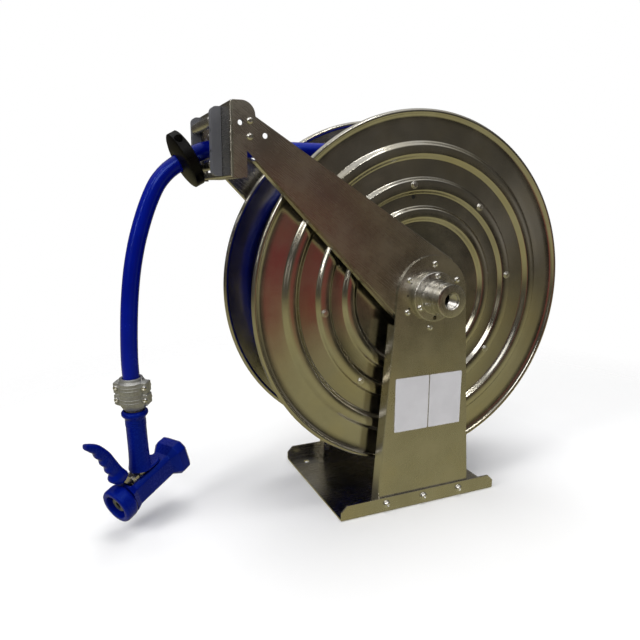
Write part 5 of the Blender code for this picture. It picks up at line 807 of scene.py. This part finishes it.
# ------------------------------------------------------------------ free hose
ROUTE = (
    (-150.0, -8.3, 605.0), (-205.0, -5.0, 605.7), (-260.0, -1.5, 606.6), (-300.0, 0.0, 607.0),
    (-320.0, 0.0, 607.0),
    (-334.0, 0.0, 605.95), (-347.0, 0.0, 603.1), (-358.0, 0.0, 598.9), (-365.4, 0.0, 595.4),
    (-376.0, 0.0, 589.7),
    (-386.6, 0.0, 584.0), (-402.5, 0.0, 573.2), (-416.3, 0.0, 558.9), (-425.6, 0.0, 544.6),
    (-435.3, 0.0, 524.0),
    (-443.3, 0.0, 503.5), (-450.3, 0.0, 482.5), (-456.5, 0.0, 461.0), (-463.5, 0.0, 429.5),
    (-468.5, 0.0, 398.0),
    (-472.2, 0.0, 365.0), (-474.8, 0.0, 330.0), (-476.3, 0.0, 298.0), (-476.7, 0.0, 275.0),
    (-475.95, 0.0, 252.5),
    (-475.3, 0.0, 235.5), (-474.64, 0.0, 218.8),
)


def build_free_hose(m):
    """Smooth curve through the route, from the end of the winding to the coupling."""
    exit_x = -0.1165
    first = Vector((exit_x, WINDING_END_Y + WINDING_LEAD * exit_x, AXLE_Z + WINDING_RADIUS))
    knots = [first] + [Vector(p) * MM for p in ROUTE]
    padded = [2 * knots[0] - knots[1]] + knots + [2 * knots[-1] - knots[-2]]
    route = []
    # a Catmull-Rom curve, with more points where two knots lie far apart
    for a, b, c, d in zip(padded, padded[1:], padded[2:], padded[3:]):
        shares = (0, 0.25, 0.5, 0.75) if (c - b).length > 0.024 else (0, 0.5)
        for t in shares:
            bend = (2 * a - 5 * b + 4 * c - d) * t * t + (3 * b - a - 3 * c + d) * t ** 3
            route.append(0.5 * (2 * b + (c - a) * t + bend))
    route.append(knots[-1])
    length = sum((b - a).length for a, b in zip(route, route[1:]))
    return tube_curve("hose_hanging", route, m["hose"], "frame", ["hose_free"]), first, length


# ------------------------------------------------------------------ stopper
def build_stopper(m):
    slope = radians(28.4)
    place = frame_at((-0.376, 0, 0.5897), (-cos(slope), 0, -sin(slope)), (0, 1, 0))
    bore, half, rim, big, hub = 0.0144, 0.0135, 0.0075, 0.044, 0.024
    profile = [(bore + 0.0008, -half), (hub - 0.002, -half), (hub, -half + 0.0006)]
    profile += [(0.0330, -0.0112), (0.0405, -0.0087), (big - 0.0013, -rim), (big, -rim + 0.0010),
                (big, rim - 0.0010), (big - 0.0013, rim)]
    profile += [(0.0405, 0.0087), (0.0330, 0.0112), (hub, half - 0.0006), (hub - 0.002, half),
                (bore + 0.0008, half), (bore, half - 0.0008), (bore, -half + 0.0008)]
    made = []
    for name, side in (("upper", -1), ("lower", 1)):
        turn = Matrix.Rotation(0 if side > 0 else pi, 4, "Z")
        bm = lathe(bmesh.new(), profile, 48, turn, sweep=pi)
        for v in bm.verts:
            v.co.y += side * 0.00025
        bm.transform(place)
        cuts = []
        heads = bmesh.new()
        for across in (-0.030, 0.030):
            centre = place @ Vector((across, side * 0.034, 0))
            out = place.to_3x3() @ Vector((0, side, 0))
            cuts.append(holes([(centre, out, 0.0060, 0.020)], 28))
            head = 0.0036 if side < 0 else 0.0034
            hex_bolt(heads, place @ Vector((across, side * 0.014, 0)), out, 0.0040, head, washer=False)
        made.append(make("stop_half_" + name, bm, m["black"], "frame", ["stopper_" + name],
                         cuts=cuts, bevel=0.0005, limit=40))
        made.append(fasteners(m, "stop_screws_" + name, heads))
    return made


# ------------------------------------------------------------------ gun
UP = Vector((-0.0388, 0, 1)).normalized()
AIM = Vector((cos(radians(213.95)) * cos(radians(17.3)), sin(radians(213.95)) * cos(radians(17.3)),
              -sin(radians(17.3))))
GUN = frame_at((-0.4688, 0, 0.0686), UP, AIM)
LEAN = UP.dot(AIM)
BARREL = GUN @ frame_at((0, 0, 0), (sqrt(1 - LEAN * LEAN), 0, LEAN), (0, 0, 1))
PIVOT = Vector((0.0176, 0, 0.0170))
PIVOT_X, PIVOT_S = 0.0210749, 0.0124342
SIDE = GUN @ YA


def signed_power(value, power):
    return abs(value) ** power * (1 if value > 0 else -1)


def superellipse(power, count):
    """Points of a squarish ring of half width 1."""
    angles = [tau * (k + 0.5) / count for k in range(count)]
    return [(signed_power(cos(a), 2 / power), signed_power(sin(a), 2 / power)) for a in angles]


def chamfered(half, cut, soft=0.0011):
    """Square with cut corners, each corner of it eased by two points."""
    ring = []
    h, k = half, half - cut
    corners = [Vector(c) for c in ((h, -k), (h, k), (k, h), (-k, h), (-h, k), (-h, -k), (-k, -h), (k, -h))]
    for i, corner in enumerate(corners):
        for other in (corners[i - 1], corners[(i + 1) % 8]):
            edge = other - corner
            ring.append(tuple(corner + edge.normalized() * min(soft, edge.length * 0.3)))
    return ring


def build_cover(m):
    stations = (
        (-87.4, 0.0232, 0.0085), (-86.9, 0.0240, 0.0090), (-82.0, 0.0284, 0.0100), (-81.2, 0.0288, 0.0102),
        (-80.0, 0.0289, 0.0102),
        (-66.8, 0.0289, 0.0102), (-65.8, 0.0287, 0.0101), (-64.9, 0.0281, 0.0099), (-53.5, 0.0207, 0.0062),
        (-52.4, 0.0201, 0.0060),
        (-50.8, 0.0200, 0.0060), (22.6, 0.0200, 0.0060), (24.0, 0.0202, 0.0061), (25.2, 0.0208, 0.0064),
        (33.0, 0.0240, 0.0088), (33.6, 0.0242, 0.0090),
    )
    sections = []
    for s, half, cut in stations:
        sections.append([BARREL @ Vector((u, v, s * MM)) for u, v in chamfered(half, cut)])
    bm = loft(bmesh.new(), sections)
    axis = BARREL.to_3x3() @ Vector((0, 0, 1))
    bore = holes([(BARREL @ Vector((0, 0, 0)), axis, 0.0137, 0.0575)], 40)
    front_bore = holes([(BARREL @ Vector((0, 0, 0.030)), axis, 0.0137, 0.010)], 40)
    neck = holes([(GUN @ Vector((0, 0, 0.030)), UP, 0.0105, 0.030)], 40)
    rear, front, half = PIVOT_S - 0.009, PIVOT_S + 0.015, 0.0116
    slot = prism(bmesh.new(), rect(0.0065, 0.040, -half, half), rear, front, BARREL)
    panels = bmesh.new()
    outwards = Matrix(((0, 0, 1, 0), (0, 1, 0, 0), (-1, 0, 0, 0), (0, 0, 0, 1)))
    panel = soft_rect(0.0685, 0.0795, -0.0155, 0.0155, 0.003)
    wall = 0.0289
    for turn in (1, 2, 3):
        place = BARREL @ Matrix.Rotation(turn * pi / 2, 4, "Z") @ outwards
        prism(panels, panel, wall - 0.0015, wall + 0.0006, place)
    make("gun_cover_skin", bm, m["gun"], "frame", ["gun_cover"], joins=[panels],
         cuts=[bore, front_bore, neck, slot], bevel=0.0004, limit=60, angle=40)


def build_nose(m):
    rear, front = 0.0343, 0.0587
    outer = [(0.0133, rear), (0.0230, rear), (0.0262, rear + 0.0010), (0.0284, rear + 0.0030),
             (0.0293, rear + 0.0058), (0.0295, rear + 0.0085)]
    outer += [(0.0295, front - 0.0060), (0.0291, front - 0.0032), (0.0280, front - 0.0011), (0.0262, front),
              (0.0222, front), (0.0207, front - 0.0006)]
    outer += [(0.0200, front - 0.0022), (0.0196, front - 0.0140), (0.0133, front - 0.0140)]
    bm = lathe(bmesh.new(), outer, 72, BARREL)
    make("nose_bumper", bm, m["gun"], "frame", ["gun_bumper"], angle=50)
    tip = 0.053
    nose = [(0.0072, rear), (0.0130, rear), (0.0130, tip - 0.0105), (0.0122, tip - 0.0100),
            (0.0122, tip - 0.0088), (0.0130, tip - 0.0083)]
    nose += [(0.0130, tip - 0.0022), (0.0118, tip - 0.0004), (0.0104, tip), (0.0066, tip),
             (0.0052, tip - 0.0012), (0.0050, tip - 0.006), (0.0072, tip - 0.008)]
    make("nose_tube", lathe(bmesh.new(), nose, 56, BARREL), m["spring"], "frame", ["gun_nozzle"])


def build_handle(m):
    inner = 0.0105
    profile = [(inner, 0.028), (0.0189, 0.028), (0.0186, 0.033), (0.0177, 0.0375), (0.0171, 0.044),
               (0.0166, 0.056), (0.0164, 0.070), (0.0163, 0.100)]
    profile += [(0.0164, 0.1145), (0.0170, 0.1175), (0.0186, 0.1196), (0.0203, 0.1212), (0.0213, 0.1232),
                (0.0215, 0.1250), (0.0211, 0.1270), (0.0200, 0.1285)]
    profile += [(0.0182, 0.1297), (0.0168, 0.1299), (0.0161, 0.1290), (0.0160, 0.121), (inner, 0.121)]
    bm = lathe(bmesh.new(), profile, 64, GUN)
    sections = []
    middle, half = -0.009, 0.028
    for share, swell in ((0.0, 0.84), (0.1, 0.92), (0.3, 0.985), (0.55, 1.0), (0.8, 0.975), (0.93, 0.92),
                         (1.0, 0.84)):
        ring = []
        for k in range(48):
            a = tau * k / 48
            x = middle + swell * half * cos(a)
            z = 0.027 + 0.0055 * share + 0.10 * max(0, -x) + 1.6 * max(0, -x - 0.018) ** 2
            ring.append(GUN @ Vector((x, swell * 0.019 * sin(a), z)))
        sections.append(ring)
    lip = loft(bmesh.new(), sections)
    bore = holes([(GUN @ Vector((0, 0, 0.060)), UP, inner, 0.0612)], 48)
    sleeve = make("grip_sleeve", bm, m["gun"], "frame", ["handle_sleeve"], joins=[lip], cuts=[bore],
                  angle=60)
    grooves = bmesh.new()
    for z in (0.112, 0.1085, 0.105):
        lathe(grooves, [(0.0160, z - 0.0009), (0.01672, z - 0.0006), (0.01685, z), (0.01672, z + 0.0006),
                        (0.0160, z + 0.0009)], 56, GUN)
    rings = make("grip_rings", grooves, m["gun"], "frame", angle=70)
    collar = [(0.006, 0.1183), (0.010, 0.1183), (0.010, 0.128), (0.0145, 0.128), (0.015, 0.1285),
              (0.015, 0.131), (0.0145, 0.1315), (0.0112, 0.1315)]
    collar += [(0.0112, 0.1375), (0.0128, 0.1385), (0.0128, 0.1497), (0.006, 0.1497)]
    tail = make("tail_collar", lathe(bmesh.new(), collar, 48, GUN), m["turned"], "frame", ["hose_tail"])
    return [sleeve, rings, tail]


TRIGGER_LINE = ((0.030, 0.0205), (0.0375, 0.028), (0.050, 0.048), (0.061, 0.068))


def arm_outline(half, hub):
    line = [Vector((PIVOT.x, PIVOT.z))] + [Vector(p) for p in TRIGGER_LINE]
    left, right = [], []
    for k in range(1, len(line)):
        ahead = (line[min(k + 1, len(line) - 1)] - line[k - 1]).normalized()
        across = Vector((-ahead.y, ahead.x)) * half
        left.append(tuple(line[k] + across))
        right.append(tuple(line[k] - across))
    heading = atan2(line[1].y - PIVOT.z, line[1].x - PIVOT.x)
    ring = arc((PIVOT.x, PIVOT.z), hub, heading + radians(80), heading + radians(280), 20)
    return ring + right + list(reversed(left))


STATIONS = (
    ((28, 35), (41, 20.5), 9), ((30.5, 38.5), (52, 23.5), 12), ((34, 43), (60, 30), 13),
    ((36.5, 46), (59.5, 36), 11.5),
    ((41, 53), (58.5, 41), 9.5), ((46, 62), (65.5, 49), 9.5), ((50.5, 70), (66.5, 57), 9.0),
    ((55.5, 79), (73, 65), 9.5),
    ((60.5, 85.5), (74.5, 73), 9.0), ((67, 93), (81, 80), 9.0), ((74, 99.5), (83.5, 87.5), 8.2),
    ((83, 104.5), (90, 93.5), 7.4),
    ((96, 109.5), (97.3, 100.2), 5.5),
)


def ease(values, t):
    """Catmull-Rom value at t along a list of equally spaced numbers."""
    k = min(int(t), len(values) - 2)
    f = t - k
    a = values[max(k - 1, 0)]
    b, c = values[k], values[k + 1]
    d = values[min(k + 2, len(values) - 1)]
    bend = (2 * a - 5 * b + 4 * c - d) * f * f + (3 * b - a - 3 * c + d) * f ** 3
    return 0.5 * (2 * b + (c - a) * f + bend)


def build_trigger(m):
    bm = prism(bmesh.new(), arm_outline(0.0052, 0.0065), -0.006, 0.006, SIDE)
    toe = prism(bmesh.new(), rect(0.0034, PIVOT_X, -0.004, 0.004), PIVOT_S - 0.0016, PIVOT_S + 0.0016,
                BARREL)
    bore = holes([(GUN @ PIVOT, GUN.to_3x3() @ Vector((0, 1, 0)), 0.0029, 0.02)], 28)
    make("trigger_lever_arm", bm, m["turned"], "trigger_lever", ["trigger_arm"], joins=[toe],
         cuts=[bore], bevel=0.0005)
    n = len(STATIONS) - 1
    columns = [[s[i][j] for s in STATIONS] for i in (0, 1) for j in (0, 1)] + [[s[2] for s in STATIONS]]
    sections = []
    steps = 4 * n
    for k in range(steps + 1):
        t = n * k / steps
        ax, az, bx, bz, half = (ease(c, t) for c in columns)
        a, b = Vector((ax, az)) * MM, Vector((bx, bz)) * MM
        middle, reach = (a + b) / 2, (b - a) / 2
        shrink = 1.0 if 0 < k < steps else 0.9
        ring = []
        for u, v in superellipse(2.5, 28):
            p = middle + reach * u * shrink
            ring.append(GUN @ Vector((p.x, half * MM * v * shrink, p.y)))
        sections.append(ring)
    bm = loft(bmesh.new(), sections)
    pocket = prism(bmesh.new(), arm_outline(0.0056, 0.0065), -0.0064, 0.0064, SIDE)
    make("trigger_grip_skin", bm, m["gun"], "trigger_lever", ["trigger_grip"], cuts=[pocket],
         angle=70)
    half = 0.0108
    pin = [(0, -half), (0.0032, -half), (0.0036, -half + 0.0004), (0.0036, -half + 0.0012),
           (0.0025, -half + 0.0014), (0.0025, half - 0.0006), (0.0021, half), (0, half)]
    place = frame_at(GUN @ PIVOT, GUN.to_3x3() @ Vector((0, 1, 0)))
    make("trigger_pivot_pin", lathe(bmesh.new(), pin, 28, place), m["bright"], "frame", ["trigger_pin"])


def clamp_section(radius, bore, ear_half, ear, height, steps=18):
    gap = 0.0004
    inner = [(bore * cos(pi * k / steps), max(gap, bore * sin(pi * k / steps))) for k in range(steps + 1)]
    rise = min(0.9 * radius, ear + gap)
    lean = atan2(rise, sqrt(radius ** 2 - rise ** 2))
    outer = arc((0, 0), radius, pi - lean, lean, steps)
    outline = inner + [(-ear_half, gap), (-ear_half, rise)] + outer + [(ear_half, rise), (ear_half, gap)]
    return [Vector((u, v, height)) for u, v in outline]


def build_clamp(m):
    facing = GUN.to_3x3().inverted() @ Vector((cos(radians(240)), sin(radians(240)), 0))
    turn = atan2(-facing.x, facing.y)
    e = 0.0280
    stations = (
        (0.1323, 0.0160, 0.0117, 0.0165, 0.0018), (0.1338, 0.0176, 0.0117, 0.0188, 0.0028),
        (0.1365, 0.0190, 0.0117, 0.0205, 0.0036),
        (0.1372, 0.0194, 0.0144, 0.0215, 0.0044), (0.1395, 0.0208, 0.0144, e - 0.0022, 0.0066),
        (0.1415, 0.0218, 0.0144, e, 0.0082),
        (0.1430, 0.0220, 0.0144, e, 0.0085), (0.1570, 0.0220, 0.0144, e, 0.0085),
        (0.1580, 0.0214, 0.0144, e - 0.0014, 0.0074),
        (0.1600, 0.0214, 0.0144, e - 0.0014, 0.0074), (0.1610, 0.0220, 0.0144, e, 0.0085),
        (0.1762, 0.0220, 0.0144, e, 0.0085),
        (0.1775, 0.0216, 0.0144, e - 0.0006, 0.0078), (0.1790, 0.0197, 0.0144, 0.0226, 0.0050),
        (0.1805, 0.0186, 0.0144, 0.0200, 0.0036),
        (0.1832, 0.0184, 0.0144, 0.0196, 0.0034), (0.1843, 0.0176, 0.0147, 0.0184, 0.0028),
    )
    made = []
    for name, half_turn in (("front", 0), ("rear", pi)):
        place = GUN @ Matrix.Rotation(turn + half_turn, 4, "Z")
        sections = []
        for height, radius, bore, ear_half, ear in stations:
            sections.append([place @ p for p in clamp_section(radius, bore, ear_half, ear, height)])
        bm = loft(bmesh.new(), sections)
        made.append(make("clamp_shell_" + name, bm, m["clamp"], "frame", ["clamp_" + name],
                         bevel=0.0005, limit=40, angle=45))
        heads = bmesh.new()
        out = place.to_3x3() @ Vector((0, 1, 0))
        for z in (0.149, 0.169):
            for across in (-0.0236, 0.0236):
                seat = place @ Vector((across, 0.0089, z))
                if name == "front":
                    button_screw(heads, seat, out, 0.0044, 0.0036, 0.5)
                else:
                    hex_bolt(heads, seat, out, 0.0042, 0.0034, washer=False)
        made.append(fasteners(m, "clamp_bolts_" + name, heads))
        ribs = bmesh.new()
        for z in (0.1465, 0.1515, 0.1665, 0.1715):
            ring = [(0.0215, z - 0.0012), (0.0228, z - 0.0005), (0.0228, z + 0.0005), (0.0215, z + 0.0012)]
            lathe(ribs, ring, 20, place @ Matrix.Rotation(radians(40), 4, "Z"), sweep=radians(100))
        made.append(make("clamp_ribs_" + name, ribs, m["clamp"], "frame", bevel=0.0003))
    return made


# ------------------------------------------------------------------ carried-over nodes
KEPT = {
    "front_bearing": "cast", "arbor_housing": "cast", "swivel_seal_inner": "seal",
    "swivel_seal_outer": "seal", "pawl_pin": "bright",
    "pawl_spring": "spring", "gun_valve_body": "turned", "stem_gland": "bronze", "stem_spring": "spring",
    "drum_core": "base",
    "hollow_shaft": "turned", "gooseneck": "turned", "spring_case": "base", "power_spring": "spring",
    "rear_bush": "bronze",
    "ratchet_wheel": "turned", "pawl": "turned", "valve_stem": "turned",
}


def dress_kept(m):
    for name, look in KEPT.items():
        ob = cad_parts[name]
        ob.data.materials.clear()
        ob.data.materials.append(m[look])


# ------------------------------------------------------------------ stage
def seen_by(nt, ray, other, own):
    """One shader for rays of a kind, and another for the rest."""
    path = node(nt, "ShaderNodeLightPath")
    return node(nt, "ShaderNodeMixShader", {0: path.outputs[ray], 1: other, 2: own}).outputs[0]


def studio_floor():
    """Pale floor round the reel that fades into the pale surroundings."""
    mat, nt, sh = tree("floor_pale")
    where = coords(nt)
    fine = noise(nt, where, 2.0, 3)
    feed(nt, sh, {
        "Base Color": tint(nt, fine, (0.86, 0.86, 0.86), (0.89, 0.89, 0.89)),
        "Roughness": 0.7,
        "Specular IOR Level": 0.1,
    })
    away = node(nt, "ShaderNodeVectorMath", {0: where}, operation="LENGTH")
    far = span(nt, away.outputs["Value"], 0.0, 1.0, 0.45, 1.2)
    clear = node(nt, "ShaderNodeBsdfTransparent").outputs[0]
    mix = node(nt, "ShaderNodeMixShader", {0: far, 1: sh.outputs[0], 2: clear}).outputs[0]
    feed(nt, nt.nodes["Material Output"], {"Surface": seen_by(nt, "Is Glossy Ray", mix, clear)})
    return mat


def glow(nt, colour, strength):
    return node(nt, "ShaderNodeBackground", {"Strength": strength, "Color": colour}).outputs[0]


def blob(nt, direction, toward, start, stop):
    """1 where a direction points toward a place, 0 away from it."""
    inputs = {0: direction, 1: Vector(toward).normalized()}
    dot = node(nt, "ShaderNodeVectorMath", inputs, operation="DOT_PRODUCT")
    return span(nt, dot.outputs["Value"], 0.0, 1.0, start, stop)


def build_world():
    """White to the camera, soft light on matt surfaces, a workshop's tones in the steel."""
    world = bpy.data.worlds.new("studio")
    bpy.context.scene.world = world
    world.use_nodes = True
    nt = world.node_tree
    nt.nodes.clear()
    where = node(nt, "ShaderNodeTexCoord").outputs["Generated"]
    split = node(nt, "ShaderNodeSeparateXYZ", {0: where})
    height = span(nt, split.outputs[2], 0.0, 1.0, -1.0, 1.0)
    ramp = node(nt, "ShaderNodeValToRGB", {"Fac": height})
    bands = ramp.color_ramp.elements
    bands[0].position, bands[0].color = 0.0, (0.34, 0.31, 0.17, 1)
    bands[1].position, bands[1].color = 1.0, (1.0, 1.0, 1.0, 1)
    for at, colour in ((0.33, (0.40, 0.37, 0.20)), (0.395, (0.27, 0.24, 0.13)),
                       (0.44, (0.10, 0.088, 0.062)), (0.47, (0.086, 0.078, 0.061)),
                       (0.60, (0.074, 0.068, 0.058)), (0.74, (0.10, 0.095, 0.085)),
                       (0.84, (0.55, 0.54, 0.52))):
        bands.new(at).color = (*colour, 1)
    scene = ramp.outputs["Color"]
    for toward, start, stop, colour in (
            ((0.33, -0.934, -0.13), 0.986, 0.997, (0.25, 0.055, 0.052)),
            ((0.54, -0.825, -0.17), 0.988, 0.996, (0.018, 0.017, 0.015)),
            ((0.74, -0.66, -0.02), 0.994, 0.999, (0.30, 0.28, 0.25)),
            ((-0.75, -0.62, 0.10), 0.990, 0.998, (0.55, 0.52, 0.46)),
            ((0.10, -0.90, 0.38), 0.990, 0.998, (0.60, 0.57, 0.50))):
        scene = patch(nt, scene, blob(nt, where, toward, start, stop), colour)
    shiny = glow(nt, scene, 1.0)
    matt = glow(nt, (0.93, 0.95, 1.0, 1), 0.16)
    white = glow(nt, (1.0, 1.0, 1.0, 1), 1.0)
    mixed = seen_by(nt, "Is Camera Ray", seen_by(nt, "Is Glossy Ray", matt, shiny), white)
    node(nt, "ShaderNodeOutputWorld", {"Surface": mixed})


def build_stage():
    bm = bmesh.new()
    for x, y in ((-2, -2), (2, -2), (2, 2), (-2, 2)):
        bm.verts.new((x, y, -0.0003))
    bm.faces.new(bm.verts[:])
    floor = to_object("floor", bm)
    floor.data.materials.append(studio_floor())
    build_world()
    lights = (
        ("key", (-1.3, -1.8, 1.9), (0, 0, 0.35), 1.1, 1.1, 14, (1.0, 1.0, 1.0), True),
        ("side", (-2.1, -0.55, 1.25), (-0.3, 0, 0.35), 0.8, 1.2, 22, (1.0, 1.0, 1.0), False),
        ("fill", (1.7, -1.6, 0.8), (0, 0, 0.35), 1.2, 1.2, 6, (1.0, 1.0, 1.0), False),
        ("top", (0.1, 0.1, 2.2), (0, 0, 0.3), 1.6, 1.6, 40, (1.0, 1.0, 1.0), False),
        ("back", (0.5, 2.0, 1.4), (0, 0, 0.35), 1.2, 1.2, 14, (1.0, 1.0, 1.0), False),
        ("tube_left", (-1.9, -0.7, 1.5), (0, 0, 0.4), 0.06, 1.6, 5, (1.0, 0.98, 0.95), True),
        ("tube_over", (0.3, -1.5, 2.2), (0, 0, 0.4), 1.8, 0.06, 6, (1.0, 0.98, 0.95), True),
    )
    for name, at, to, w, h, power, colour, shows in lights:
        data = bpy.data.lights.new(name, "AREA")
        data.shape = "RECTANGLE"
        data.size, data.size_y = w, h
        data.energy = power
        data.color = colour
        lamp = bpy.data.objects.new(name, data)
        lamp.matrix_world = frame_at(at, Vector(at) - Vector(to), (0, 1, 0.01))
        lamp.visible_glossy = shows
        lamp.visible_camera = False
        bpy.context.scene.collection.objects.link(lamp)
    bpy.context.scene.view_settings.view_transform = "Standard"


make_camera()
M = make_materials()
hose, hose_exit, hose_length = build_free_hose(M)
on_hose = build_stopper(M) + build_clamp(M) + build_handle(M)
on_hose += [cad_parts[n] for n in ("gun_valve_body", "stem_gland", "stem_spring", "valve_stem")]
build_cover(M)
build_nose(M)
build_trigger(M)
build_winding(M)
build_discs(M)
build_base(M)
build_posts(M)
build_arms(M)
build_bracket(M)
build_rollers(M)
build_axle(M)
build_labels(M)
dress_kept(M)
build_stage()
